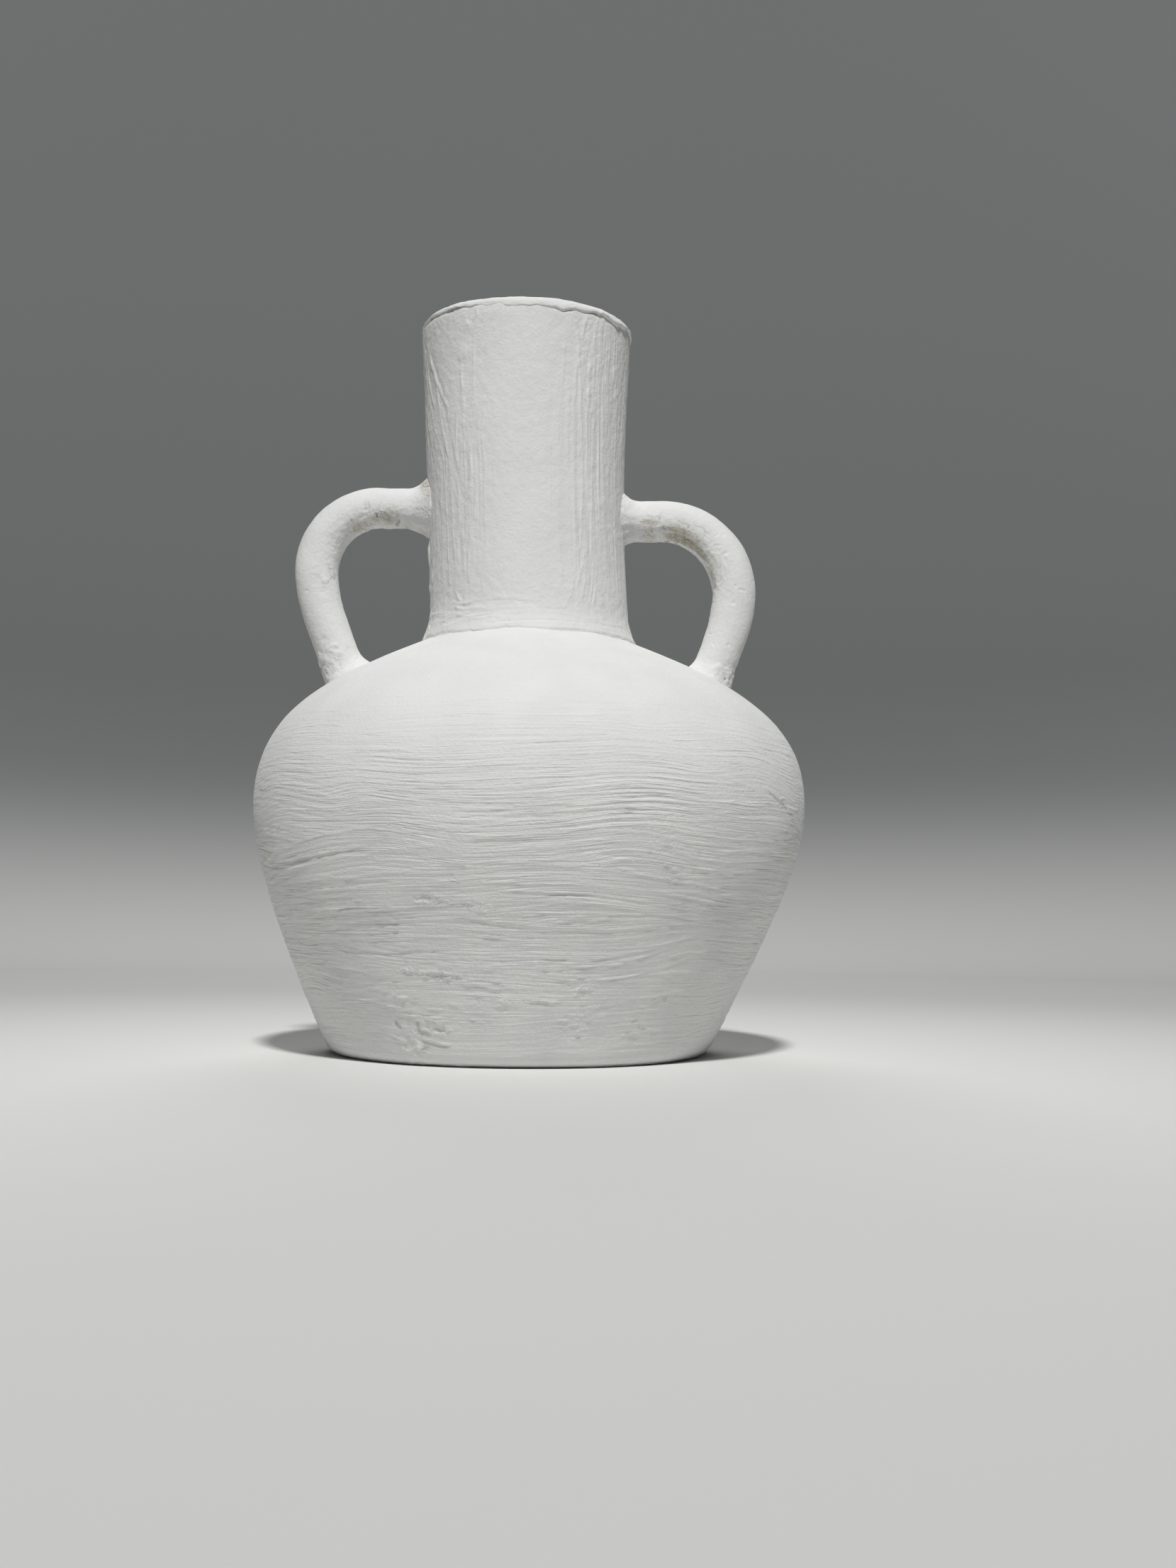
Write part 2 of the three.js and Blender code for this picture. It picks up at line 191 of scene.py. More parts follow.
def neck_radius(z):
    waist_z = NECK_SEAT_Z + NECK_WAIST_RISE
    end = np.where(z < waist_z, NECK_FOOT_RADIUS, NECK_TOP_RADIUS)
    span = np.where(z < waist_z, NECK_WAIST_RISE, NECK_TOP_Z - waist_z)
    return NECK_WAIST_RADIUS + (end - NECK_WAIST_RADIUS) * ((z - waist_z) / span) ** 2


def neck_line():
    """The neck from its spread foot on the shoulder to where it goes into the lip"""
    foot_z = shoulder_z(NECK_FOOT_RADIUS + NECK_SPREAD) + 0.5
    z = np.linspace(foot_z, NECK_TOP_Z + LIP_LAP, 400)
    left = np.clip(1 - (z - foot_z) / NECK_SPREAD_RISE, 0.0, 1.0)
    taper = 1.1 * ease(NECK_TOP_Z + 3.5, NECK_TOP_Z + LIP_LAP, z)
    radius = neck_radius(np.minimum(z, NECK_TOP_Z)) + NECK_SPREAD * left**2.8 - taper
    return np.stack([radius, z], 1)


def centre_x(z):
    """The hand-built body leans: how far a ring's centre lies from the belly's"""
    def bulge(height):
        return BULGE_SHIFT * hill(height, BULGE_Z, BULGE_SPREAD)

    return bulge(z) - bulge(BELLY_Z)


# Smooth steps and hills, and random fields that are always the same for the same seed
def ease(start, end, x):
    """0 before the start, 1 after the end, with a smooth run between them"""
    t = np.clip((x - start) / (end - start), 0.0, 1.0)
    return t * t * (3.0 - 2.0 * t)


def hill(x, middle, spread):
    """1 at the middle, falling softly to nearly 0 at twice the spread from it"""
    return np.exp(-(((x - middle) / spread) ** 2))


def scatter(ix, iy, seed):
    """A number from 0 to 1 for each point of a lattice"""
    mixed = (ix * 73856093) ^ (iy * 19349663) ^ (seed * 83492791)
    mixed = (mixed ^ (mixed >> 15)) & 0x7FFFFFFF
    mixed = (mixed * 1274126177) & 0x7FFFFFFF
    mixed = ((mixed ^ (mixed >> 13)) * 668265263) & 0x7FFFFFFF
    return ((mixed >> 8) & 0xFFFF) / 65535.0


def grain(x, y, seed, around=0):
    """A smooth field from -1 to 1 with one swing a unit, closed on itself after around units of x"""
    ix, iy = np.floor(x).astype(np.int64), np.floor(y).astype(np.int64)
    fx, fy = ease(0.0, 1.0, x - ix), ease(0.0, 1.0, y - iy)
    left = ix % around if around else ix
    right = (ix + 1) % around if around else ix + 1
    low = scatter(left, iy, seed) * (1 - fx) + scatter(right, iy, seed) * fx
    high = scatter(left, iy + 1, seed) * (1 - fx) + scatter(right, iy + 1, seed) * fx
    return 2.0 * (low * (1 - fy) + high * fy) - 1.0


def hairline(field):
    """Thin crests where a field passes through zero"""
    return 1.2 * (1 - np.minimum(np.abs(field) / 0.36, 1.0)) ** 2 - 0.3


# Marks on an unrolled face
class Face:
    """A face of clay, unrolled: a row for each ring and a column for each step round it"""

    def __init__(self, radius, height, turns):
        self.radius, self.height, self.turns = radius, height, turns
        self.up = run_of(np.stack([radius, height], 1))
        shape = (len(radius), len(turns))
        self.relief = np.zeros(shape)
        # values of the coat, among them painted shade for cracks and grooves, and a wear value that
        # also carries painted shade under the handles
        self.paint = {
            name: np.zeros(shape) for name in ("across", "bite", "torn", "hollow", "wear_and_shade")
        }

    def field(self, cell_round, cell_up, seed):
        """A random field over the whole face that closes round the vase"""
        around = max(3, round(2 * math.pi * self.radius.mean() / cell_round))
        x = (self.turns / (2 * math.pi) + 0.5) * around
        return grain(
            np.broadcast_to(x[None, :], self.relief.shape),
            np.broadcast_to((self.up / cell_up)[:, None], self.relief.shape),
            seed, around)

    def ragged(self, cell, seed, row=0):
        """A random line round the vase: one row of a field that hardly changes upwards"""
        return self.field(cell, 1000, seed)[row]

    def part(self, rows):
        """Some of the face's rows, as a face of their own"""
        piece = Face(self.radius[rows], self.height[rows], self.turns)
        piece.relief = self.relief[rows]
        piece.paint = {key: values[rows] for key, values in self.paint.items()}
        return piece

    def up_at(self, height):
        return np.interp(height, self.height, self.up)

    def patch(self, angle, height, reach_round, reach_up):
        """The part of the face near a spot, with the distances from the spot round and up it"""
        up = self.up_at(height)
        radius = np.interp(height, self.height, self.radius)
        rows = np.flatnonzero(np.abs(self.up - up) <= reach_up)
        away = (self.turns - math.radians(angle) + math.pi) % (2 * math.pi) - math.pi
        columns = np.flatnonzero(np.abs(away) * radius <= reach_round)
        dx = away[columns][None, :] * self.radius[rows][:, None]
        dy = np.broadcast_to((self.up[rows] - up)[:, None], dx.shape)
        return np.ix_(rows, columns), dx, dy


def drag_brush(
        face, angle, height, length, width, tilt, sag, depth, seed, pitch=2.3, cover=0.85, fine=1.0,
        flowing=True):
    """One stroke laid over what is there: bristle ridges, raised sides and ragged ends. The fine
    lines of a flowing stroke run on into those that it meets."""
    lean = math.radians(tilt)
    half = np.array([length / 2 + 8, width / 2 + abs(sag) + 3])
    reach_round = abs(math.cos(lean)) * half[0] + abs(math.sin(lean)) * half[1]
    reach_up = abs(math.sin(lean)) * half[0] + abs(math.cos(lean)) * half[1]
    spot, dx, dy = face.patch(angle, height, reach_round, reach_up)
    along = dx * math.cos(lean) + dy * math.sin(lean)
    across = dy * math.cos(lean) - dx * math.sin(lean)
    across = across - sag * (1 - (2 * along / length) ** 2)
    across = across + 0.8 * grain(along / 35, along * 0, seed)
    side = np.abs(across) + 0.7 * grain(along / 9, across * 0, seed + 1)
    end = np.abs(along) + 6 * grain(across / 1.9, along * 0, seed + 2)
    mask = 1 - ease(width / 2 - 1.6, width / 2 + 0.8, side)
    mask = mask * (1 - ease(length / 2 - 12, length / 2, end))
    bristles = (
        0.7 * grain(along / 60, across / (pitch / 2), seed + 3)
        + 0.9 * hairline(grain(along / 75, across / pitch, seed + 4))
        + 0.5 * hairline(grain(along / 45, across / (pitch * 0.6), seed + 5))
    )
    press = 0.7 + 0.4 * grain(along / 40, across / 12, seed + 6)
    press = press + 0.3 * grain(along / 5, across / 2, seed + 7)
    raised_side = hill(side - width / 2, -1.5, 1.1)
    stroke = depth * (bristles * press + 0.8 * raised_side)
    face.relief[spot] = face.relief[spot] * (1 - cover * mask) + mask * stroke
    paint = face.paint
    bite = fine * np.clip(depth / 0.15, 0.15, 1.3) * press
    if flowing:
        laid = 0.5 * (side < width / 2 - 0.8)
        laid = laid * (1 - ease(0.08 * length, 0.5 * length, np.abs(along)))
        paint["across"][spot] += laid * (face.up_at(height) + across - paint["across"][spot])
        paint["bite"][spot] += mask * (bite - paint["bite"][spot])
        return
    on_top = mask > 0.5
    paint["across"][spot] = np.where(on_top, across + 53.0 * (seed % 97), paint["across"][spot])
    paint["bite"][spot] = np.where(
        on_top, (2 * mask - 1) * bite, paint["bite"][spot] * (1 - 2 * np.minimum(mask, 0.5)))


def quiet_seams(face):
    """Takes the fine lines off where one stroke's lines meet another's, so that they don't smear"""
    across = face.paint["across"]
    jump = np.zeros(across.shape, bool)
    for axis in (0, 1):
        jump |= np.abs(np.roll(across, -1, axis) - across) > 2.5
    for axis in (0, 1):
        jump |= np.roll(jump, 1, axis) | np.roll(jump, -1, axis)
    face.paint["bite"][jump] = 0.0


def raise_lump(face, angle, height, width, rise, proud, seed):
    """A soft lump, or a dent where proud is below zero"""
    spot, dx, dy = face.patch(angle, height, width + rise, width + rise)
    edge = 1 + 0.25 * grain(dx / 3, dy / 3, seed)
    reach = np.hypot(dx / (width / 2), dy / (rise / 2)) * edge
    face.relief[spot] += proud * np.exp(-(reach**2.6))


def crumple(
        face, angle, height, width, rise, proud, seed, cell=4.0, upright=0.6, hollow=0.0, torn=2.2):
    """Torn, wriggling folds of thick coat, with painted shade in their troughs"""
    spot, dx, dy = face.patch(angle, height, width, rise)
    warp = 0.6 * cell * grain(dx / cell, dy / cell, seed + 1)
    fold = grain((dx + warp) / cell, (dy - warp) / (cell * upright), seed)
    reach = np.hypot(dx / (width / 2), dy / (rise / 2)) + 0.45 * grain(dx / 4, dy / 3, seed + 3)
    mask = 1 - ease(0.5, 1.2, reach)
    island = ease(-0.05, 0.35, fold)
    trough = ease(0.45, 0.8, -fold)
    face.relief[spot] += proud * mask * (0.8 * island - 0.3)
    paint = face.paint
    paint["torn"][spot] = np.maximum(paint["torn"][spot], mask * min(1.0, torn * proud))
    # painted shade in the troughs of the folds
    paint["hollow"][spot] = np.maximum(paint["hollow"][spot], hollow * mask * trough)
    paint["bite"][spot] *= 1 - 0.6 * mask


def run_line(face, points, width, proud, seed, hollow=0.0, wander=0.6):
    """A ridge along points given as angle and height, or a groove where proud is below zero; painted
    shade can be laid along it
    """
    angles, heights = np.array(points, float).T
    middle = (angles.min() + angles.max()) / 2, (heights.min() + heights.max()) / 2
    radius = np.interp(middle[1], face.height, face.radius)
    xs = np.radians(angles - middle[0]) * radius
    ys = face.up_at(heights) - face.up_at(middle[1])
    margin = 3 * width + 4
    spot, dx, dy = face.patch(*middle, np.ptp(xs) / 2 + margin, np.ptp(ys) / 2 + margin)
    dx = dx + wander * grain(dx / 5, dy / 5, seed)
    dy = dy + wander * grain(dx / 5, dy / 5, seed + 1)
    nearest = np.full(dx.shape, 1e9)
    total = sum(np.hypot(np.diff(xs), np.diff(ys)))
    run = np.zeros(dx.shape)
    passed = 0.0
    for x0, y0, x1, y1 in zip(xs[:-1], ys[:-1], xs[1:], ys[1:]):
        span = math.hypot(x1 - x0, y1 - y0)
        t = np.clip(((dx - x0) * (x1 - x0) + (dy - y0) * (y1 - y0)) / span**2, 0.0, 1.0)
        away = np.hypot(dx - x0 - t * (x1 - x0), dy - y0 - t * (y1 - y0))
        run = np.where(away < nearest, passed + t * span, run)
        nearest = np.minimum(nearest, away)
        passed += span
    fade = ease(0.0, 0.15, run / total) * ease(0.0, 0.15, 1 - run / total)
    strength = fade * (0.75 + 0.25 * grain(run / 4, run * 0, seed + 2))
    profile = hill(nearest, 0.0, width / 2) * strength
    face.relief[spot] += proud * profile
    # painted shade along the line
    face.paint["hollow"][spot] = np.maximum(face.paint["hollow"][spot], hollow * profile)


# Meshes from rings of points
def turn_angles(count, front_half):
    """Angles round the vase from back to back, closer together across the front"""
    fine = np.linspace(-math.pi, math.pi, 7201)
    ramp = math.radians(18.0)
    front = math.radians(front_half)
    density = 1 + (FRONT_BOOST - 1) * (1 - ease(front - ramp, front + ramp, np.abs(fine)))
    share = np.concatenate([[0.0], np.cumsum((density[1:] + density[:-1]) / 2)])
    even = np.arange(count) / count * share[-1]
    return np.interp(even, share, fine)


def ring_points(radius, height, turns, centre=centre_x):
    """Points of rings round the vessel's leaning centre line or another: rows by columns by xyz"""
    radius, height = np.broadcast_arrays(radius, height)
    x = centre(height) + radius * np.sin(turns)[None, :]
    y = -radius * np.cos(turns)[None, :]
    return np.stack([x, y, np.broadcast_to(height, x.shape)], 2)


def dressed_rings(face):
    """The face with its coat, pushed out square to the wall"""
    tangent = np.gradient(np.stack([face.radius, face.height], 1), axis=0)
    tangent /= np.linalg.norm(tangent, axis=1)[:, None]
    radius = face.radius[:, None] + face.relief * tangent[:, 1:2]
    height = face.height[:, None] - face.relief * tangent[:, 0:1]
    radius = np.minimum(radius, BELLY_RADIUS - 0.02)
    return ring_points(radius, np.clip(height, 0.0, VASE_HEIGHT - 0.02), face.turns)


def grid_normals(rings):
    """Smooth normals of a grid that closes round its columns"""
    round_step = np.roll(rings, -1, axis=1) - np.roll(rings, 1, axis=1)
    up_step = np.gradient(rings, axis=0)
    normals = np.cross(round_step, up_step)
    return normals / np.linalg.norm(normals, axis=2)[:, :, None]


def ring_faces(rows, columns, closed):
    """Quads between neighbouring rings, and from the last ring to the first where closed"""
    first = np.arange(rows if closed else rows - 1)
    i, j = np.meshgrid(first, np.arange(columns), indexing="ij")
    i2, j2 = (i + 1) % rows, (j + 1) % columns
    corners = (i * columns + j, i * columns + j2, i2 * columns + j2, i2 * columns + j)
    return np.stack(corners, 2).reshape(-1, 4)


def put_in_scene(name, data):
    thing = bpy.data.objects.new(name, data)
    bpy.context.scene.collection.objects.link(thing)
    return thing


def dress_with(mesh, name, stands_for=()):
    """A finished mesh at the origin, as a piece that rides on the vase's one body"""
    mesh.name = name
    piece = put_in_scene(name, mesh)
    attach(piece, "root")
    if stands_for:
        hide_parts(*stands_for)
    return piece


def paint_points(mesh, paint):
    """Stores each value of the coat on the mesh's points, for its finish to read"""
    for key, values in paint.items():
        layer = mesh.attributes.new(key, "FLOAT", "POINT")
        layer.data.foreach_set("value", np.asarray(values, np.float32).ravel())
    mesh.shade_smooth()


def add_piece(name, points, faces, paint, finish, stands_for):
    """A closed piece from its points and faces"""
    mesh = bpy.data.meshes.new(name)
    mesh.from_pydata((points * MM).tolist(), [], faces)
    paint_points(mesh, paint)
    mesh.materials.append(finish)
    return dress_with(mesh, name, stands_for)


def add_turned_piece(name, face, inner, finish, stands_for, poles=(), seams=None):
    """A turned section: its dressed outer face, then its inner line back down to the start.
    Poles are heights on the axis that close the bottom and the inside of the floor. Seams holds
    normals for rings that another piece carries on."""
    outer = dressed_rings(face)
    inside = ring_points(inner[:, 0:1], inner[:, 1:2], face.turns)
    rings = np.concatenate([outer, inside])
    rows, columns = rings.shape[:2]
    points = rings.reshape(-1, 3)
    faces = ring_faces(rows, columns, closed=not poles).tolist()
    if poles:
        axis = np.array([[centre_x(z), 0.0, z] for z in poles])
        bottom, top = len(points), len(points) + 1
        points = np.concatenate([points, axis])
        last = (rows - 1) * columns
        for j in range(columns):
            after = (j + 1) % columns
            faces.append((bottom, after, j))
            faces.append((top, last + j, last + after))
    paint = {}
    for key, values in face.paint.items():
        padded = np.zeros(len(points))
        padded[:values.size] = values.ravel()
        paint[key] = padded
    inside_mark = np.ones(len(points))
    inside_mark[:outer.shape[0] * columns] = 0.0
    paint["inside"] = inside_mark
    piece = add_piece(name, points, faces, paint, finish, stands_for)
    if seams:
        normals = np.array([v.normal for v in piece.data.vertices])
        for row, values in seams.items():
            row %= outer.shape[0]
            normals[row * columns:(row + 1) * columns] = values
        piece.data.normals_split_custom_set_from_vertices(normals.tolist())
    return piece


# Finishes
class Dial:
    """A node's output, so that shader and shape maths reads as a formula"""

    def __init__(self, bench, socket):
        self.bench, self.socket = bench, socket

    def sum(self, operation, first, second):
        return self.bench.node("ShaderNodeMath", {"operation": operation}, {0: first, 1: second})

    def __add__(self, other):
        return self.sum("ADD", self, other)

    __radd__ = __add__

    def __sub__(self, other):
        return self.sum("SUBTRACT", self, other)

    def __rsub__(self, other):
        return self.sum("SUBTRACT", other, self)

    def __mul__(self, other):
        return self.sum("MULTIPLY", self, other)

    __rmul__ = __mul__

    def __pow__(self, other):
        return self.sum("POWER", self, other)


class Bench:
    """The nodes of one tree"""

    def __init__(self, tree):
        self.tree = tree

    def node(self, kind, settings=None, inputs=None, output=0):
        """A node of a kind, its settings first, then the values or links of its sockets"""
        node = self.tree.nodes.new(kind)
        for name, value in (settings or {}).items():
            setattr(node, name, value)
        for name, value in (inputs or {}).items():
            socket = node.inputs[name] if isinstance(name, int) else self.find(node.inputs, name)
            if isinstance(value, Dial):
                self.tree.links.new(value.socket, socket)
            else:
                socket.default_value = value
        found = node.outputs[output] if isinstance(output, int) else self.find(node.outputs, output)
        return Dial(self, found)

    @staticmethod
    def find(sockets, name):
        return next(s for s in sockets if name in (s.identifier, s.name) and s.enabled)


class Finish(Bench):
    """A material and its nodes"""

    def __init__(self, name, **sockets):
        self.material = bpy.data.materials.new(name)
        self.material.use_nodes = True
        super().__init__(self.material.node_tree)
        self.tree.nodes.clear()
        self.sockets = sockets

    def attribute(self, name):
        return self.node("ShaderNodeAttribute", {"attribute_name": name}, output="Fac")

    def place(self):
        return self.node("ShaderNodeTexCoord", output="Object")

    def noise(self, vector, scale, detail=2.0, rough=0.5):
        return self.node(
            "ShaderNodeTexNoise", None,
            {"Vector": vector, "Scale": scale, "Detail": detail, "Roughness": rough})

    def between(self, value, low, high, to_low=0.0, to_high=1.0):
        """The value's share of its way from low to high, eased and held at both ends"""
        return self.node(
            "ShaderNodeMapRange", {"interpolation_type": "SMOOTHSTEP"},
            {"Value": value, "From Min": low, "From Max": high, "To Min": to_low, "To Max": to_high})

    def blend(self, share, first, second):
        return self.node(
            "ShaderNodeMix", {"data_type": "RGBA"},
            {"Factor_Float": share, "A_Color": first, "B_Color": second}, output="Result_Color")

    def close(self, colour, roughness, height):
        """Ends the tree: colour, roughness and a height in millimetres that becomes the bump"""
        bumped = self.node(
            "ShaderNodeBump", None, {"Strength": 1.0, "Distance": MM, "Height": height})
        clay = self.node(
            "ShaderNodeBsdfPrincipled", None,
            {"Base Color": colour, "Roughness": roughness, "Normal": bumped, **self.sockets})
        out = self.tree.nodes.new("ShaderNodeOutputMaterial")
        self.tree.links.new(clay.socket, out.inputs["Surface"])
        return self.material


CHALK = (0.800, 0.800, 0.782, 1.0)
CHALK_COOL = (0.765, 0.772, 0.765, 1.0)
THIN_COAT = (0.600, 0.560, 0.480, 1.0)
# grey-brown grime for random flecks, also painted shade on the handles' worn undersides
GRIME_AND_SHADE = (0.330, 0.295, 0.240, 1.0)
# painted shade: the colour that cracks, grooves, fold troughs and pits are darkened to
CRACK_SHADE = (0.170, 0.150, 0.125, 1.0)
CLAY = (0.430, 0.300, 0.195, 1.0)


def chalk_coat(name, thin_reach, grit):
    """Matte white coat: fine bristle lines along each stroke, grit, soft blotches, painted shade in
    cracks, grooves and pits.
    Thin_reach is how much of the worn places shows the yellowish clay and takes the grime and
    painted shade; grit is its height."""
    coat = Finish(name, **{"Specular IOR Level": 0.25, "Diffuse Roughness": 0.1})
    place = coat.place()
    lines = coat.node(
        "ShaderNodeTexNoise", {"noise_dimensions": "4D"},
        {"Vector": place, "W": coat.attribute("across") * (BRISTLE_LANE / BRISTLE_LINES),
         "Scale": BRISTLE_LINES, "Detail": 3.0, "Roughness": 0.62})
    grit_field = coat.noise(place, 560.0, 3.0, 0.6)
    blotch = coat.noise(place, 34.0, 3.0, 0.55)
    patch = coat.noise(place, 150.0, 4.0, 0.65)
    # how much painted shade each point takes in its cracks, grooves and troughs
    hollow = coat.attribute("hollow")
    wear_and_shade = coat.attribute("wear_and_shade")
    inside = coat.attribute("inside")
    colour = coat.blend(coat.between(blotch, 0.35, 0.7), CHALK, CHALK_COOL)
    fleck = coat.noise(place, 420.0, 3.0, 0.65)
    thin = coat.between(patch + (fleck - 0.5) * 1.1 + wear_and_shade * thin_reach, 0.80, 1.15)
    colour = coat.blend(thin, colour, THIN_COAT)
    # grime flecks everywhere, and painted shade where the handles are worn, mostly on their
    # undersides
    grime_and_shade = coat.between(wear_and_shade * thin_reach + (0.5 - fleck) * 2.4, 0.42, 0.95, 0.0, 0.65)
    colour = coat.blend(grime_and_shade, colour, GRIME_AND_SHADE)
    height_z = coat.node("ShaderNodeSeparateXYZ", None, {"Vector": place}, output="Z")
    edge = (NECK_TOP_Z - WHITE_INSIDE) * MM
    bare = coat.between(height_z + (blotch - 0.5) * 0.03, edge + 0.004, edge - 0.004) * inside
    colour = coat.blend(bare, colour, CLAY)
    # painted shade darkens the cracks, grooves, fold troughs and pits
    colour = coat.blend(hollow, colour, CRACK_SHADE)
    roughness = 0.84 + 0.1 * patch
    height = (lines - 0.5) * coat.attribute("bite") * 1.3 + (grit_field - 0.5) * grit
    height = height + torn_folds(coat, place) * coat.attribute("torn")
    return coat.close(colour, roughness, height)


def torn_folds(coat, place):
    """Crisp little islands and pits, in millimetres, where thick coat has dragged and torn"""
    wriggle = coat.node(
        "ShaderNodeTexNoise", None,
        {"Vector": place, "Scale": 330.0, "Detail": 2.0, "Roughness": 0.5, "Distortion": 0.6})
    island = coat.between(wriggle, 0.42, 0.64)
    pit = coat.between(coat.noise(place, 420.0, 2.0, 0.6), 0.60, 0.76)
    return island * 0.32 - pit * 0.30


def bare_clay():
    """Fired clay without its coat, for the coils pressed into the inner corners"""
    clay = Finish("bare_clay", **{"Specular IOR Level": 0.25})
    place = clay.place()
    speckle = clay.noise(place, 520.0, 4.0, 0.7)
    smear = clay.noise(place, 60.0, 3.0, 0.6)
    colour = clay.blend(clay.between(smear, 0.3, 0.75), CLAY, (0.34, 0.235, 0.15, 1.0))
    return clay.close(colour, 0.85 + 0.1 * speckle, (speckle - 0.5) * 0.3)


# The belly, from the foot to under the neck
def belly_face(turns):
    below = respace(join(foot_line(), lower_line()[1:]), BELLY_ROW)
    above = respace(shoulder_line(), BELLY_ROW)
    line = join(below, above)
    face = Face(line[:, 0], line[:, 1], turns)
    face.belly_row = len(below) - 1
    return face


def coat_belly(face):
    rng = np.random.default_rng(41)
    z = np.broadcast_to(face.height[:, None], face.relief.shape)
    clay = 0.28 * face.field(95, 70, 1) + 0.30 * face.field(42, 34, 2)
    clay = clay + 0.12 * face.field(18, 13, 4)
    front = hill(np.degrees(face.turns), 0.0, 52)[None, :]
    clay = clay - 1.1 * front * hill(z, 66, 22)  # a shallow hollow over the foot
    face.paint["across"] += face.up[:, None]
    strokes = []
    for height in np.arange(4.0, 238.0, STROKE_RISE):
        girth = 2 * math.pi * np.interp(height, face.height, face.radius)
        for start in np.arange(0.0, girth, STROKE_STEP):
            angle = (start + rng.uniform(-30, 30)) / girth * 360.0 - 180.0
            strokes.append((angle, height + rng.uniform(-6, 6)))
    rng.shuffle(strokes)
    for number, (angle, height) in enumerate(strokes):
        smooth_top = 1 - 0.35 * ease(125.0, 150.0, height) - 0.5 * ease(160.0, 188.0, height)
        depth = rng.uniform(0.15, 0.24) * smooth_top * (0.55 + 0.45 * ease(20.0, 55.0, height))
        drag_brush(
            face, angle, height, rng.uniform(80, 200), rng.uniform(16, 34),
            rng.normal(0.0, 4.0), rng.normal(0.0, 2.5), BELLY_PRESS * depth, 100 + number,
            pitch=BELLY_PITCH)
    brush_belly_front(face)
    face.relief += clay
    mark_belly(face)
    drip = ease(75.0, 30.0, z) * ease(-0.1, 0.5, face.field(24, 15, 6))
    bits = ease(0.25, 0.55, face.field(4.2, 2.4, 7)) + 0.6 * ease(0.3, 0.6, face.field(2.6, 1.6, 8))
    face.relief += 0.035 * face.field(2.2, 1.7, 3) * ease(150.0, 40.0, z) + 0.24 * drip * bits
    face.paint["torn"] = np.maximum(face.paint["torn"], 0.3 * drip)
    quiet_seams(face)
    top = face.up[-1]
    face.relief *= (1 - ease(top - 6, top - 1, face.up))[:, None]
    face.relief += joint_fillet(face) * ease(top - 11, top - 3, face.up)[:, None]
    face.relief *= ease(1.0, 5.0, face.up)[:, None]
    np.clip(face.relief, -1.2, None, out=face.relief)


def joint_fillet(face):
    """How much coat fills the corner under the neck: most in the middle of the front, in patches"""
    angle = np.degrees(face.turns)
    middle = hill(angle, -3, 13) + 0.6 * hill(angle, 34, 7)
    patches = ease(0.1, 0.5, face.ragged(38, 51, row=-1)) * ease(60.0, 90.0, np.abs(angle))
    return (0.95 * np.minimum(middle + patches, 1.0) + 0.12 * face.ragged(5, 52, row=-1))[None, :]


def brush_belly_front(face):
    """The strokes that stand out across the front, in the order in which they were laid"""
    strokes = [
        # angle, height, length, width, tilt, sag, depth
        (-47, 168, 120, 30, -7, 2, 0.09),
        (2, 172, 190, 34, 2, -2, 0.09),
        (48, 166, 130, 32, -6, 3, 0.12),
        (-50, 146, 110, 30, -9, 3, 0.15),
        (-46, 124, 130, 30, -8, 3, 0.15),
        (-6, 150, 160, 30, 4, -2, 0.13),
        (-2, 134, 180, 24, 4, -4, 0.18),
        (0, 114, 170, 26, 4, -3, 0.17),
        (24, 150, 90, 26, -3, 4, 0.13),
        (22, 128, 84, 24, 2, 4, 0.18),
        (24, 104, 80, 24, -6, 5, 0.16),
        (57, 148, 100, 26, -14, 3, 0.15),
        (54, 124, 96, 28, 0, 0, 0.15),
        (55, 100, 96, 26, 1, 0, 0.14),
        (-42, 108, 150, 16, 7, 2, 0.17),
        (-24, 92, 190, 20, 4, -2, 0.17),
        (-30, 74, 190, 20, 4, -2, 0.15),
        (16, 88, 150, 22, -5, 4, 0.14),
        (18, 68, 150, 20, 0, -4, 0.13),
        (-40, 54, 120, 20, -7, 2, 0.13),
        (22, 56, 110, 16, 9, -5, 0.14),
        (-10, 40, 130, 22, -2, 2, 0.09),
    ]
    for number, stroke in enumerate(strokes):
        depth = stroke[6] * (1.35 - 0.35 * ease(115.0, 155.0, stroke[1]))
        drag_brush(face, *stroke[:6], BELLY_PRESS * depth, 700 + 3 * number, pitch=BELLY_PITCH)


